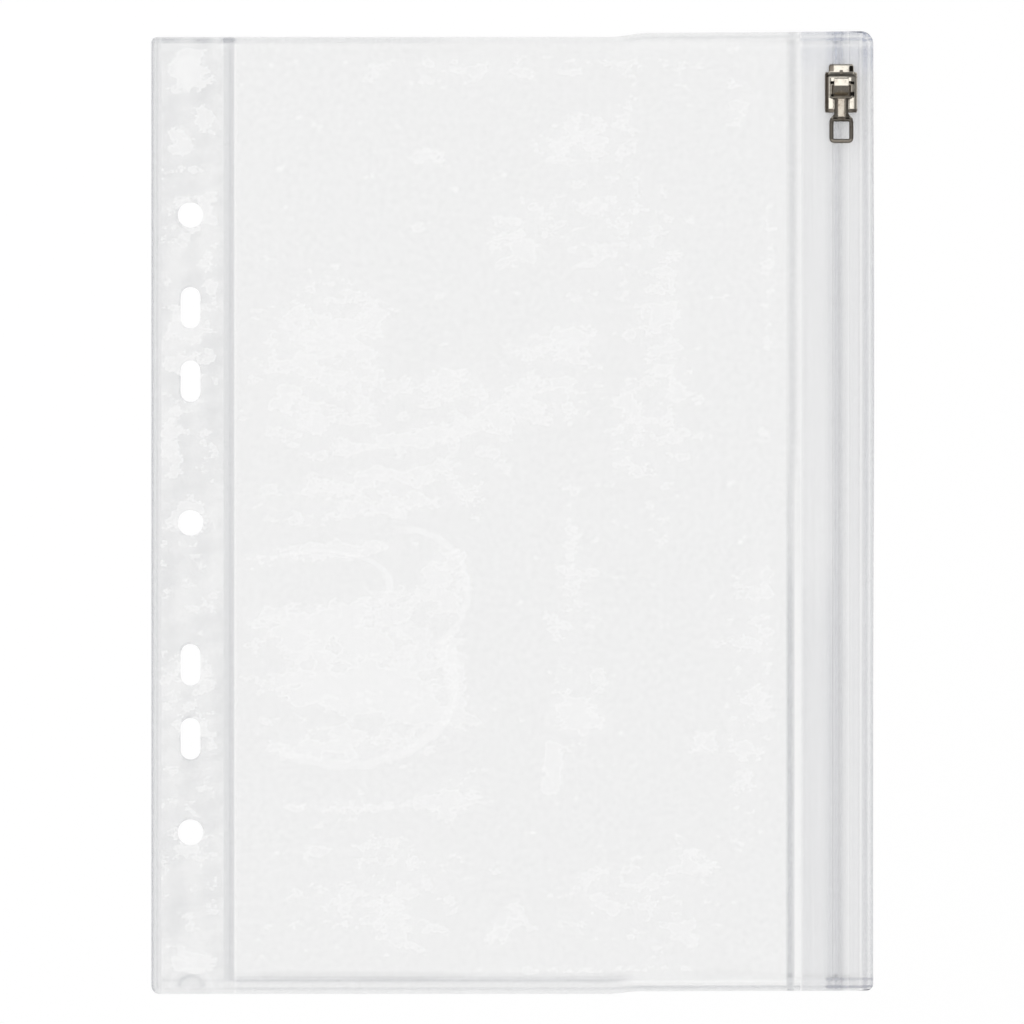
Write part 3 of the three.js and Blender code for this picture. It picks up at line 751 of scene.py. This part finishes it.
# Both films on one lattice that has a line at every seam's place and at every hole's square
def buildFilms():
    line, reach, core = holes["line"], holes["reach"], holes["core"]
    bend = sleeve["bend"]
    placesAcross = [place - halfWidth for place, *strengths in seamsAcross]
    placesAcross += [line + side * core * width / 2
                     for width in (holes["round"], holes["slotWidth"]) for side in (-1, 1)]
    placesUp = [(place - halfHeight) * (1 if "bottom" in end else -1)
                for end, lines in seamsEnd.items() for place, *strengths in lines]
    placesUp += [middle + side * (core * width / 2 + run / 2)
                 for middle, width, run in openings for side in (-1, 1)]
    fineAcross = [(line - reach, line + reach, holes["pitch"]), (bend[0] - 1, bend[1] + 1, 0.8)]
    fineUp = [(middle - run / 2 - reach, middle + run / 2 + reach, holes["pitch"])
              for middle, width, run in sorted(openings)]
    fineUp = [(-halfHeight, -halfHeight + 6.4, 0.3), *fineUp, (halfHeight - 5.2, halfHeight, 0.4)]
    columns = latticeLines(-halfWidth, halfWidth, 2.0, placesAcross, fineAcross)
    rows = latticeLines(-halfHeight, halfHeight, 2.0, placesUp, fineUp)
    frontColumns = columns[columns <= seamsAcross[-1][0] - halfWidth + 1e-6]
    under = undersideMaterial("film_underside")
    back = filmSheet("back_film_sheet", columns, rows, backLevels, backMarks,
                     filmMaterial("back_film"), under)
    front = filmSheet("front_film_sheet", frontColumns, rows, frontLevels, frontMarks,
                      filmMaterial("front_film"), under)
    return back, front


# The zip's two tapes

tapes = {
    "flangeBottom": 0.5,
    "flangeTop": 1.0,
    "headBottom": 2.1,
    "headTop": 3.0,
    "rounding": 0.14,
    "pitch": 0.3,
    "step": 3.9,  # from the zip's middle, where the outer tape steps down
    "ends": 4.2,  # the ends' finer rows reach this far in
    "pressedFlange": 0.6,  # what is left of the flange's height in the end seams,
    "pressedHead": 0.1,  # and of what stands on it
    "fades": (-24, -8),  # going up, the inner tape's lines fade over this stretch,
    "faded": 0.27,
    "dimmed": 0.4,  # and its pressed edge gets less clear
    "hazeColour": (0.50, 0.505, 0.50, 1),
    # the colours of the painted shade in the tape's dark lines, in the plastic's bluish tint
    "lineColour": (0.24, 0.25, 0.30, 1),
    "endColour": (0.215, 0.245, 0.345, 1),  # bluer where the zip runs out at the top
    "blueFrom": (97.0, 101.0),
    "haze": 0.042,
    "gloss": (0.12, 0.5),  # everywhere, and more of it on top
}
# Across the zip from the punched edge: place, the share of light that the tape's top stops as painted
# shade, and how bright the painted highlight is where it is pressed
tapeTones = [
    (143.9, 0.03, 0), (145.6, 0.02, 0.2), (145.9, 0, 1), (147.1, 0, 1), (147.3, 0.08, 0.3),
    (147.55, 0.16, 0), (147.9, 0.25, 0), (148.3, 0.24, 0), (149.0, 0.22, 0), (151.7, 0.21, 0),
    (152.5, 0.23, 0), (152.95, 0.27, 0), (153.4, 0.34, 0), (153.86, 0.41, 0), (154.09, 0.38, 0),
    (154.3, 0.28, 0), (154.77, 0.33, 0), (155.0, 0.48, 0), (155.45, 0.45, 0), (155.66, 0.34, 0),
    (155.9, 0.35, 0), (156.13, 0.37, 0), (156.35, 0.14, 0), (156.57, 0.21, 0), (156.8, 0.10, 0),
    (157.0, 0.09, 0), (157.25, 0.26, 0), (157.5, 0.21, 0), (157.7, 0.12, 0), (157.95, 0.07, 0),
    (158.16, 0.03, 0), (158.4, 0.16, 0), (158.8, 0.20, 0), (160.3, 0.19, 0), (160.65, 0.08, 0),
    (160.9, 0.03, 0), (161.1, 0.16, 0), (161.35, 0.37, 0), (161.8, 0.42, 0), (162.05, 0.46, 0),
    (162.25, 0.39, 0), (162.47, 0.20, 0), (162.7, 0.14, 0), (162.9, 0.25, 0), (163.15, 0.40, 0),
    (163.6, 0.40, 0),
]
# The same in the end seams: place from the end, more light stopped as painted shade; and how much of
# that the flat middle of the inner tape shows
tapeEnds = {
    "bottom": ([
        (0.0, 0), (0.43, 0), (0.66, 0.45), (0.88, 0.7), (1.1, 0.4), (1.34, 0.08), (1.56, 0.12),
        (2.0, 0.12), (2.25, 0.2), (2.5, 0.36), (2.7, 0.42), (2.9, 0.22), (3.15, 0.03), (3.4, 0),
    ], 0.1),
    "top": ([
        (0.0, 0.3), (0.45, 0.3), (0.7, 0.2), (0.9, 0.08), (1.1, 0), (1.35, 0.12), (1.6, 0.37),
        (1.8, 0.4), (2.05, 0.14), (2.27, 0), (3.2, 0), (3.6, 0.1), (4.3, 0.18), (7.0, 0.15),
        (10.0, 0),
    ], 0.6),
}


# The highest point of a closed outline over each place asked for
def upperLine(outline, places):
    ends = np.roll(outline, -1, 0)
    low = np.minimum(outline[:, 0], ends[:, 0]) - 1e-6
    high = np.maximum(outline[:, 0], ends[:, 0]) + 1e-6
    run = ends[:, 0] - outline[:, 0]
    run = np.where(np.abs(run) < 1e-6, 1e-6, run)
    share = np.clip((places[:, None] - outline[:, 0]) / run, 0, 1)
    height = outline[:, 1] + share * (ends[:, 1] - outline[:, 1])
    over = (places[:, None] > low) & (places[:, None] < high)
    return np.where(over, height, -1).max(1)


# A tape's marks: painted shade tones across times their fading, plus the end seams'; 1 on top; the
# painted highlight where it is pressed
def tapeMarks(fromLeft, rows, onTop):
    upper = softStep(rows, *tapes["fades"])[:, None]
    tones = lookUp(tapeTones, fromLeft) * onTop * (1 - tapes["faded"] * upper * (fromLeft < 154.6))
    middle = softStep(fromLeft, 153.2, 152.6)
    for end, away in (("bottom", rows + halfHeight), ("top", halfHeight - rows)):
        lines, share = tapeEnds[end]
        more = lookUp(lines, away)[:, None] * (1 - (1 - share) * middle)
        tones = tones + more * onTop * (fromLeft > seamsAcross[-1][0])
    brights = lookUp(tapeTones, fromLeft, 2) * (1 - tapes["dimmed"] * upper)
    tops = np.broadcast_to(onTop, tones.shape)
    return np.stack([tones, tops, brights, tones * 0 + 1], -1).reshape(-1, 4)


# The outline in (across, up) carried along the zip. In the end seams its flange is pressed thin,
# and what stands on it much lower.
def tapeSurface(name, outline, material):
    t = tapes
    section = resampled(roundedOutline(outline, t["rounding"]), t["pitch"])
    across, up = section.T
    height = up - t["flangeBottom"] + 0.3 * np.clip(across - t["step"], 0, 1)
    pressed = (aboveBack + np.minimum(height, 0.5) * t["pressedFlange"]
               + np.maximum(height - 0.5, 0) * t["pressedHead"])
    ends = np.linspace(0, t["ends"], 24)
    rows = np.concatenate([ends - halfHeight, np.linspace(-103, 103, 56), halfHeight - ends])
    rows = np.unique(np.round(rows, 4))
    bottom, top = pocket["bottomSeam"] - halfHeight, halfHeight - pocket["topSeam"]
    crushed = 1 - softStep(rows, bottom, bottom + 1)[:, None] * (
        1 - softStep(rows, top - 1, top)[:, None])
    z = np.maximum(up * (1 - crushed) + pressed * crushed, aboveBack)
    x = np.broadcast_to(across + zipX, z.shape)
    points, faces = straightForm(rows, np.stack([x, z], -1))
    plan = points * (mm, mm, 0)
    points[:, :2] = np.stack(skewed(*roundCorners(*points[:, :2].T)), -1)
    onTop = (up > upperLine(section, across) - 0.02).astype(float)
    marks = tapeMarks(across + zipX + halfWidth, rows, onTop)
    return meshObject(name, points, faces, material, plan, marks, sharp=40)


# Extruded tape: the first mark is painted shade, how much light its top stops there, and the third a
# painted highlight that thins its haze; faint draw lines run along it
def tapeMaterial(name):
    material, tree = newMaterial(name)
    plan = planOf(tree)
    tone, top, bright = marksOf(tree)
    draw = noise(tree, stretched(tree, plan, (1, 0.02, 1)), 900, 1, 0.6)
    cloud = noise(tree, stretched(tree, plan, (1, 0.35, 1)), 60, 1, 0.5)
    body = tapes["haze"] * (0.8 + cloud * 0.4) * (1 - bright)
    dark = tone * (0.82 + draw * 0.2 + cloud * 0.16)
    up = add(tree, "ShaderNodeSeparateXYZ", {}, {"Vector": plan}, output=1)
    blue = step(up, tapes["blueFrom"][0] * mm, tapes["blueFrom"][1] * mm)
    line = mixed(blue, tapes["lineColour"], tapes["endColour"])
    closeClear(tree, mixed(dark / (body + dark), tapes["hazeColour"], line), 0.14 + draw * 0.12,
               body + dark + grazing(tree) * (tapes["gloss"][0] + top * tapes["gloss"][1]),
               {"Strength": 0.3, "Distance": 0.00005, "Height": draw})
    return material


# The inner tape has a hook under its head, and the outer one the channel that the hook snaps into.
# Each outline goes once round, in millimetres from the zip's middle.
def buildTapes():
    material = tapeMaterial("zip_tape")
    flangeBottom, flangeTop = tapes["flangeBottom"], tapes["flangeTop"]
    headBottom, headTop, drop = tapes["headBottom"], tapes["headTop"], tapes["step"]
    middle = (flangeTop + headBottom) / 2
    hook = tapeSurface("hook_tape", [
        (-12.3, flangeBottom), (-0.35, flangeBottom), (-0.35, middle - 0.15), (0.5, middle - 0.15),
        (0.5, middle - 0.3), (0.8, middle), (0.5, middle + 0.3), (0.5, middle + 0.15),
        (-0.35, middle + 0.15), (-0.35, headBottom), (-0.6, headBottom), (-0.6, headTop),
        (-1.75, headTop), (-2.05, headTop - 0.3), (-2.05, headBottom), (-1.35, headBottom),
        (-1.35, flangeTop), (-12.3, flangeTop),
    ], material)
    groove = tapeSurface("groove_tape", [
        (-0.1, flangeBottom), (drop, flangeBottom), (drop + 1, aboveBack), (7.3, aboveBack),
        (7.3, 0.5), (drop + 1, 0.5), (drop, flangeTop), (1.35, flangeTop), (1.35, headBottom),
        (2.05, headBottom), (2.05, headTop - 0.3), (1.75, headTop), (0.6, headTop), (0.6, 1.95),
        (0.85, 1.95), (0.85, headBottom), (1.0, headBottom), (1.0, flangeTop), (0.15, flangeTop),
        (0.15, 1.15), (-0.1, 1.15),
    ], material)
    return hook, groove


# The metal slider, in millimetres from its own middle

slider = {
    "middle": (zipX, 96.3),
    "half": 3.65,
    "foot": -5.45,
    "shoulder": 3.5,
    "noseHalf": 2.8,
    "noseEnd": 5.45,
    "plateTop": 3.95,
    "plateBottom": 3.25,
    "rim": 3.3,  # where the side walls turn into the domed top
    "wallInside": 2.95,
    "jaw": 1.6,  # half the slot between the jaws
    "jawBottom": 1.25,
    "jawTop": 1.85,
    "dip": 0.36,  # how far the plate drops towards the nose
    # flat pads beside the pull's neck, and stamped recesses painted dark as shade: left, right, near,
    # far
    "pads": [(-3.0, -1.75, -4.75, -2.0), (1.75, 3.0, -4.75, -2.0)],
    "padTop": 3.84,
    "recesses": [(2.05, 2.95, 0.85, 1.5), (2.0, 2.95, -1.85, -0.8), (-2.5, -1.5, 0.8, 1.7),
                 (-2.5, -1.72, -1.95, -1.35), (1.85, 2.75, 3.75, 5.1)],
    "recessDepth": 0.3,
    "noseRecessDepth": 0.25,
    # painted shade: a dark band across the shoulder where the plate steps down
    "bar": (-4, 4, 2.55, 3.75),  # the dark bar across the shoulder
    # places of painted shade, darker and browner: box, soft edge, strength, and whether only the top
    # is shaded
    "paintedShade": [((-9, -2.75, -9, 9), 0.35, 1.0, False), ((3.2, 9, -9, 9), 0.3, 0.2, False),
                ((-9, 9, -9, -4.6), 0.25, 0.8, False), ((-4, -1.6, 3.7, 6), 0.2, 0.75, False),
                ((-2.1, 2.1, -1.9, 1.7), 0.1, 0.8, True)],
}
metal = {
    "colour": (0.86, 0.81, 0.71, 1),
    # brown: the colour of painted shade and of dulled plating; dark: of painted shade in recesses and
    # gaps
    "brown": (0.40, 0.335, 0.27, 1),
    "dark": (0.035, 0.032, 0.028, 1),
    "roughness": 0.15,
    "pullRoughness": 0.18,
}


# Plated metal: bright on what stands up; brown where the second mark paints shade and where the
# plating has dulled in clouds and pits; nearly black where the first mark paints shade in recesses
def metalMaterial(name, roughness):
    material, tree = newMaterial(name)
    place = add(tree, "ShaderNodeTexCoord", output=3)
    dark, brown, unused = marksOf(tree)
    cloud = noise(tree, place, 900, 3, 0.6, "3D")
    lines = noise(tree, stretched(tree, place, (1, 0.12, 1)), 9000, 2, 0.6, "3D")
    pits = step(noise(tree, place, 5200, 2, 0.5, "3D"), 0.66, 0.76)
    # painted shade from the second mark, plus the plating's real dulling in clouds and pits
    dimmed = brown + step(cloud, 0.45, 0.8) * 0.5 + pits * 0.3
    colour = mixed(dimmed, metal["colour"], metal["brown"])
    # nearly black where the first mark paints shade
    colour = mixed(dark, colour, metal["dark"])
    bump = add(tree, "ShaderNodeBump", {}, {"Strength": 0.25, "Distance": 0.00002,
                                            "Height": lines * 0.6 + cloud - pits * 0.8})
    close(tree, add(tree, "ShaderNodeBsdfPrincipled", {}, {
        "Base Color": colour,
        "Metallic": 1.0,
        "Roughness": roughness + cloud * 0.16 + pits * 0.2 + dark * 0.4,
        "Normal": bump,
    }))
    return material


# Several swept forms as one mesh about the slider's middle, marked by a rule of its points
def metalPiece(name, forms, marking, material):
    points, faces = [], []
    for formPoints, formFaces in forms:
        start = sum(len(each) for each in points)
        faces += [[start + corner for corner in face] for face in formFaces]
        points.append(formPoints)
    points = np.concatenate(points)
    dark, brown = marking(points)
    marks = np.stack([dark, brown, dark * 0, dark * 0 + 1], -1)
    return meshObject(name, points + np.array([*slider["middle"], 0]), faces, material,
                      marks=marks, sharp=40)


# 1 inside a rectangle (left, right, near, far) and 0 outside it, over a soft edge
def inside(x, y, box, edge=0.07):
    left, right, near, far = box
    return (softStep(x, left, left + edge) * softStep(x, right, right - edge)
            * softStep(y, near, near + edge) * softStep(y, far, far - edge))


# The outline of a rectangle with round corners, as wide as twice halfAcross, from low to high
def rectangle(halfAcross, low, high, radius, steps=4, pitch=10.0):
    corners = [(-halfAcross, low), (halfAcross, low), (halfAcross, high), (-halfAcross, high)]
    return resampled(roundedOutline(corners, radius, steps), pitch)


# The shell's marks, all painted shade: dark in the recesses, on the shoulder's band and in the shaded
# places; brown in the shaded places, and half brown on the lower walls
def shellMarks(points):
    x, y, z = points.T
    recess = np.max([inside(x, y, box) for box in slider["recesses"]], 0) * softStep(z, 3.0, 3.2)
    above = softStep(z, 3.3, 3.4)
    paintedShade = np.max([inside(x, y, box, edge) * strength * (above if topOnly else 1)
                      for box, edge, strength, topOnly in slider["paintedShade"]], 0)
    bar = inside(x, y, slider["bar"], 0.15) * above
    under = softStep(z, 3.0, 2.6)
    return np.clip(recess + bar * 0.72 + paintedShade * 0.55, 0, 1), np.clip(under * 0.5 + paintedShade, 0, 1)


# The folded section along the slider, domed on top, with its pads raised flat and its recesses
# stamped in, dropping towards the nose, and drawn in a little at both ends
def shellForm():
    half, top, foot, shoulder = (slider[key] for key in ("half", "plateTop", "foot", "shoulder"))
    outer = [(half, slider["jawBottom"]), (half, slider["rim"]), (2.6, top - 0.30), (1.3, top - 0.08)]
    inner = [(-slider["jaw"], slider["jawBottom"]), (-slider["jaw"], slider["jawTop"]),
             (-slider["wallInside"], slider["jawTop"]),
             (-slider["wallInside"], slider["plateBottom"])]
    outline = (outer + [(0, top)] + [(-x, z) for x, z in outer[::-1]]
               + inner + [(-x, z) for x, z in inner[::-1]])
    radii = [0.1, 0.7, 0.5, 0.5, 0.5, 0.5, 0.5, 0.7, 0.1] + [0.1] * 8
    section = resampled(roundedOutline(outline, radii, 5), 0.09)
    rows = np.linspace(foot, shoulder + 0.15, 92)
    x = np.broadcast_to(section[:, 0], (len(rows), len(section))).copy()
    z = np.broadcast_to(section[:, 1], x.shape).copy()
    y = np.broadcast_to(rows[:, None], x.shape)
    onTop = softStep(z, 3.28, 3.4)
    for box in slider["pads"]:
        z = z + inside(x, y, box, 0.1) * onTop * (slider["padTop"] - z)
    for box in slider["recesses"]:
        z = z - inside(x, y, box) * onTop * slider["recessDepth"]
    z = z - onTop * slider["dip"] * softStep(y, 2.45, 3.5)
    narrow = 0.12 * (softStep(y, foot + 0.6, foot) + softStep(y, shoulder - 0.4, shoulder + 0.15))
    x = x - np.sign(x) * narrow * softStep(np.abs(x), 2.6, 3.4)
    return straightForm(rows, np.stack([x, z], -1))


# The nose's own plate: a rounded rectangle that narrows as a quarter circle and bows down towards
# its end
def noseForm():
    bottom, top, tip = slider["plateBottom"], slider["plateTop"] - slider["dip"], slider["noseEnd"]
    rows = np.linspace(slider["shoulder"] - 0.3, tip, 44)
    plate = rectangle(slider["noseHalf"], bottom - 0.02, top - 0.03, 0.16, 4, 0.09)
    end = np.clip((rows - (tip - 0.7)) / 0.7, 0, 1)
    across = plate[:, 0] * (1 - 0.16 * (1 - np.sqrt(1 - end ** 2 * 0.999)))[:, None]
    upper = softStep(plate[:, 1], bottom + 0.1, bottom + 0.25)
    height = plate[:, 1] - upper * (0.03 * across ** 2 + 0.12 * end[:, None] ** 2)
    y = np.broadcast_to(rows[:, None], across.shape)
    for box in slider["recesses"]:
        height = height - inside(across, y, box) * upper * slider["noseRecessDepth"]
    return straightForm(rows, np.stack([across, height], -1))


# The shell is the folded section and the nose's plate in one piece
def buildShell(material):
    shell = metalPiece("slider_shell", [shellForm(), noseForm()], shellMarks, material)
    rollEdges(shell, 0.06, 2, 50)
    return shell


bridge = {
    "height": 1.9,
    "strap": 0.6,
    "half": 1.65,
    "farLeg": 2.4,
    "crest": 0.45,
    "nearLeg": -1.42,
    "stake": 0.7,  # how far the legs go down into the plate
    "rounding": [0, 0.12, 0.3, 0.12, 0],
    "ears": 1.98,
    "earHalf": 2.55,
}


# The strap's middle line, bent over an arch. Its ends aren't rounded, so each keeps one point only.
def strapLine():
    half, height, stake = bridge["strap"] / 2, bridge["height"], bridge["stake"]
    corners = [(bridge["farLeg"] - half, -stake), (bridge["farLeg"] - half, height - half),
               (bridge["crest"], height - half), (bridge["nearLeg"], 0.0),
               (bridge["nearLeg"], -stake)]
    line = resampled(roundedOutline(corners, bridge["rounding"], 8)[8:-8], 0.12)
    return line[: np.argmin(np.hypot(*(line - corners[-1]).T)) + 1]


# The bridge: a flat strap bent over an arch, and its two ears, a bar with round ends
def buildBridge(material):
    top, half = slider["plateTop"], bridge["strap"] / 2
    line = strapLine()
    tangent = np.gradient(line, axis=0)
    tangent /= np.linalg.norm(tangent, axis=1, keepdims=True)
    path = np.stack([line[:, 0] * 0, line[:, 0], line[:, 1] + top], -1)
    up = np.stack([line[:, 0] * 0, -tangent[:, 1], tangent[:, 0]], -1)
    strap = sweep(path, (1, 0, 0), up, rectangle(bridge["half"], -half, half, 0.08))
    places = np.linspace(-bridge["earHalf"], bridge["earHalf"], 25)
    earPath = np.stack([places, places * 0 + bridge["ears"], places * 0 + top + 0.17], -1)
    end = np.clip((np.abs(places) - bridge["earHalf"] + 0.2) / 0.2, 0, 1)
    ear = rectangle(0.46, -0.33, 0.35, 0.09)[None] * np.sqrt(1 - 0.6 * end ** 2)[:, None, None]
    ears = sweep(earPath, (0, 1, 0), (0, 0, 1), ear)

    # the strap's near slope gets painted shade: a little darker and browner
    def bridgeMarks(points):
        slope = softStep(points[:, 1], 0.75, 0.35) * softStep(points[:, 2], top - 0.5, top)
        return slope * 0.03, slope * 0.35
    return metalPiece("slider_arch", [strap, ears], bridgeMarks, material)


pullTab = {
    "pivot": 0.85,
    "height": slider["plateTop"] + 0.2 + 0.45,  # of its middle
    "eye": {"half": 2.32, "near": 3.0, "far": 0.0, "corner": 0.45, "wire": (0.30, 0.40, 2.6)},
    "loop": {"half": 2.25, "near": 12.83, "far": 7.95, "corner": 0.75, "wire": (0.48, 0.42, 2.8)},
    "neck": (2.9, 8.1),  # from the pivot, where the neck starts and ends,
    "neckHalf": 1.62,
    "neckThick": 0.36,
    "rib": 0.29,
    "ribHalf": (0.84, 1.02),
}


# A rounded rectangle of points in plan with its outward directions
def ringPath(half, near, far, radius, steps=8, pitch=0.25):
    points = resampled(roundedOutline([(-half, near), (half, near), (half, far), (-half, far)],
                                      radius, steps), pitch)
    tangent = np.roll(points, -1, 0) - np.roll(points, 1, 0)
    tangent /= np.linalg.norm(tangent, axis=1, keepdims=True)
    return points, np.stack([tangent[:, 1], -tangent[:, 0], tangent[:, 0] * 0], -1)


# The cosine and sine of a full turn to a power, signs kept: squarer as the power gets smaller
def squaredCircle(power, count):
    angle = np.linspace(0, 2 * math.pi, count, endpoint=False)
    c, s = np.cos(angle), np.sin(angle)
    return np.sign(c) * np.abs(c) ** power, np.sign(s) * np.abs(s) ** power


# A ring of round wire in plan: its squared oval carried round a rounded rectangle
def wireRing(ring):
    pivot = pullTab["pivot"]
    points, outward = ringPath(ring["half"], pivot - ring["near"], pivot - ring["far"],
                               ring["corner"])
    path = np.concatenate([points, np.full((len(points), 1), pullTab["height"])], 1)
    across, up, squareness = ring["wire"]
    c, s = squaredCircle(2 / squareness, 20)
    return sweep(path, outward, (0, 0, 1), np.stack([across * c, up * s], -1), True)


# The neck: a flat oval that flares to the loop and to the eye, with a rib raised along its top
def neckForm():
    pivot, (start, end) = pullTab["pivot"], pullTab["neck"]
    rows = np.linspace(pivot - start, pivot - end, 60)
    flare = (0.95 * softStep(rows, pivot - 6.6, pivot - 7.9)
             + 0.35 * softStep(rows, pivot - 3.6, pivot - 2.9))
    c, s = squaredCircle(0.7, 72)
    across = c * (pullTab["neckHalf"] + flare[:, None])
    rib = softStep(np.abs(across), pullTab["ribHalf"][1], pullTab["ribHalf"][0])
    rib = rib * (softStep(rows, pivot - 3.0, pivot - 3.3)
                 * softStep(rows, pivot - 7.75, pivot - 7.3))[:, None] * (s > 0)
    up = s * pullTab["neckThick"] + rib * (pullTab["rib"] - 0.05 * across ** 2)
    return straightForm(rows, np.stack([across, up], -1), pullTab["height"])


# The pull's marks, painted shade: dark beside the rib, on the loop and on the eye, most where the eye
# lies over the shell's recesses; and brown on the neck, the loop and the eye
def pullMarks(points):
    x, y = points[:, :2].T
    away = pullTab["pivot"] - y
    onNeck = inside(x, -away, (-2.0, 2.0, -7.9, -3.1), 0.2)
    beside = onNeck * softStep(np.abs(x), 0.9, 1.04)
    onLoop = softStep(away, 7.4, 7.9)
    loopFoot = softStep(away, 12.3, 12.6)
    onEye = softStep(away, 3.3, 3.1)
    nearEye = softStep(away, 2.6, 2.8)
    shade = np.max([inside(x, y, box, 0.12) for box in slider["recesses"]], 0)
    dark = beside * 0.72 + onLoop * (0.66 - 0.28 * loopFoot)
    dark = dark + onEye * (0.2 + 0.3 * nearEye + 0.8 * shade)
    return np.clip(dark, 0, 1), np.clip(onNeck * 0.5 + onLoop * 0.6 + onEye * 0.4, 0, 1)


# The pull: an eye round the bridge's leg, a neck with a raised rib, and a loop
def buildPull(material):
    forms = [wireRing(pullTab["eye"]), neckForm(), wireRing(pullTab["loop"])]
    return metalPiece("pull_loop", forms, pullMarks, material)


# The wedge: the frame's own solid with doubled points joined, sharp edges rolled, and one even mark
# of painted shade, dark and brown, as it sits inside the slider
def buildWedge(material):
    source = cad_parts["slider_wedge"]
    wedge = source.copy()
    wedge.data = source.data.copy()
    for key in list(wedge.keys()):
        del wedge[key]
    wedge.name = "slider_plough"
    wedge.parent = None
    scene.collection.objects.link(wedge)
    wedge.data.materials.clear()
    wedge.data.materials.append(material)
    joined = wedge.modifiers.new("joined", "WELD")
    joined.merge_threshold = 0.01 * mm
    rollEdges(wedge, 0.08, 3, 35)
    marks = wedge.data.attributes.new("marks", "FLOAT_COLOR", "POINT")
    # painted shade all over: the wedge sits inside the slider
    marks.data.foreach_set("color", [0.6, 0.4, 0.0, 1.0] * len(wedge.data.vertices))
    return wedge


# The room

room = {
    "floorColour": (0.60, 0.60, 0.60, 1),
    "floorGlow": 0.425,
    "floorHalf": 8000,
    "floorLevel": -0.05,
    "worldLevel": 0.20,
    # side in metres, power in watts, place, and whether polished things mirror it
    "panels": [(2.6, 23.0, (-0.26, 0.26, 3.2), True), (7.2, 164.0, (-0.53, 0.53, 3.4), False)],
    "pixels": 1024,
    "frameWidth": 232.2,
    "lens": 400.0,
    "sensor": 36.0,
    "centre": (512.25, 513.5),  # the pixel on which the sleeve's middle lies
}


# A pale floor that keeps the soft shadow, and reads white to the camera and in reflections
def buildFloor():
    material, tree = newMaterial("floor")
    path = add(tree, "ShaderNodeLightPath")
    seen = path.output("Is Camera Ray") + path.output("Is Glossy Ray")
    seen = seen + path.output("Is Transmission Ray")
    glow = add(tree, "ShaderNodeMath", {"operation": "MINIMUM"}, {0: seen, 1: 1.0})
    close(tree, add(tree, "ShaderNodeBsdfPrincipled", {}, {
        "Base Color": room["floorColour"], "Roughness": 1.0, "Specular IOR Level": 0.0,
        "Emission Color": (1, 1, 1, 1), "Emission Strength": glow * room["floorGlow"],
    }))
    half, level = room["floorHalf"], room["floorLevel"]
    corners = [(-half, -half, level), (half, -half, level), (half, half, level),
               (-half, half, level)]
    meshObject("floor", corners, [(0, 1, 2, 3)], material)


# Two soft square panels overhead, and a world that is dim but reads white to the camera
def buildRoom():
    world = bpy.data.worlds.new("studio")
    scene.world = world
    world.use_nodes = True
    tree = world.node_tree
    tree.nodes.clear()
    seen = add(tree, "ShaderNodeLightPath").output("Is Camera Ray")
    level = room["worldLevel"] + seen * (1 - room["worldLevel"])
    light = add(tree, "ShaderNodeBackground", {}, {"Color": (1, 1, 1, 1), "Strength": level})
    add(tree, "ShaderNodeOutputWorld", {}, {"Surface": light})
    for side, power, place, mirrored in room["panels"]:
        lamp = bpy.data.lights.new("panel", "AREA")
        lamp.shape = "SQUARE"
        lamp.size = side
        lamp.energy = power
        panel = bpy.data.objects.new("panel", lamp)
        panel.location = place
        panel.visible_glossy = mirrored
        scene.collection.objects.link(panel)
    scene.view_settings.view_transform = "Standard"
    scene.cycles.transparent_max_bounces = 32      # stacked films


# The camera looks straight down, from the height at which the frame's width just fills its sensor
def buildCamera():
    data = bpy.data.cameras.new("camera")
    data.lens = room["lens"]
    data.sensor_width = room["sensor"]
    pixel = room["frameWidth"] / room["pixels"] * mm
    middle = room["pixels"] / 2
    camera = bpy.data.objects.new("camera", data)
    camera.location = ((middle - room["centre"][0]) * pixel, (room["centre"][1] - middle) * pixel,
                       room["frameWidth"] * mm * room["lens"] / room["sensor"])
    scene.collection.objects.link(camera)
    scene.camera = camera


buildCamera()
buildRoom()
buildFloor()
print("room and camera ready")

backSheet, frontSheet = buildFilms()
print("films ready:", len(backSheet.data.polygons) + len(frontSheet.data.polygons), "faces")
hookTape, grooveTape = buildTapes()
print("tapes ready:", len(hookTape.data.polygons) + len(grooveTape.data.polygons), "faces")
plated = metalMaterial("plated_metal", metal["roughness"])
shell, arched, wedge = buildShell(plated), buildBridge(plated), buildWedge(plated)
pull = buildPull(metalMaterial("pull_metal", metal["pullRoughness"]))
print("slider ready:", len(shell.data.polygons), "faces in its shell")

for piece, part, node, finish in (
    (backSheet, "sleeve", "back_film", "clear_film"),
    (frontSheet, "sleeve", "front_film", "clear_film"),
    (hookTape, "sleeve", "hook_zip_tape", "zip_profile"),
    (grooveTape, "sleeve", "groove_zip_tape", "zip_profile"),
    (shell, "slider", "slider_body", "slider_metal"),
    (arched, "slider", "slider_bridge", "slider_metal"),
    (wedge, "slider", "slider_wedge", "slider_metal"),
    (pull, "pull", "pull_tab", "slider_metal"),
):
    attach(piece, part)
    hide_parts(node)
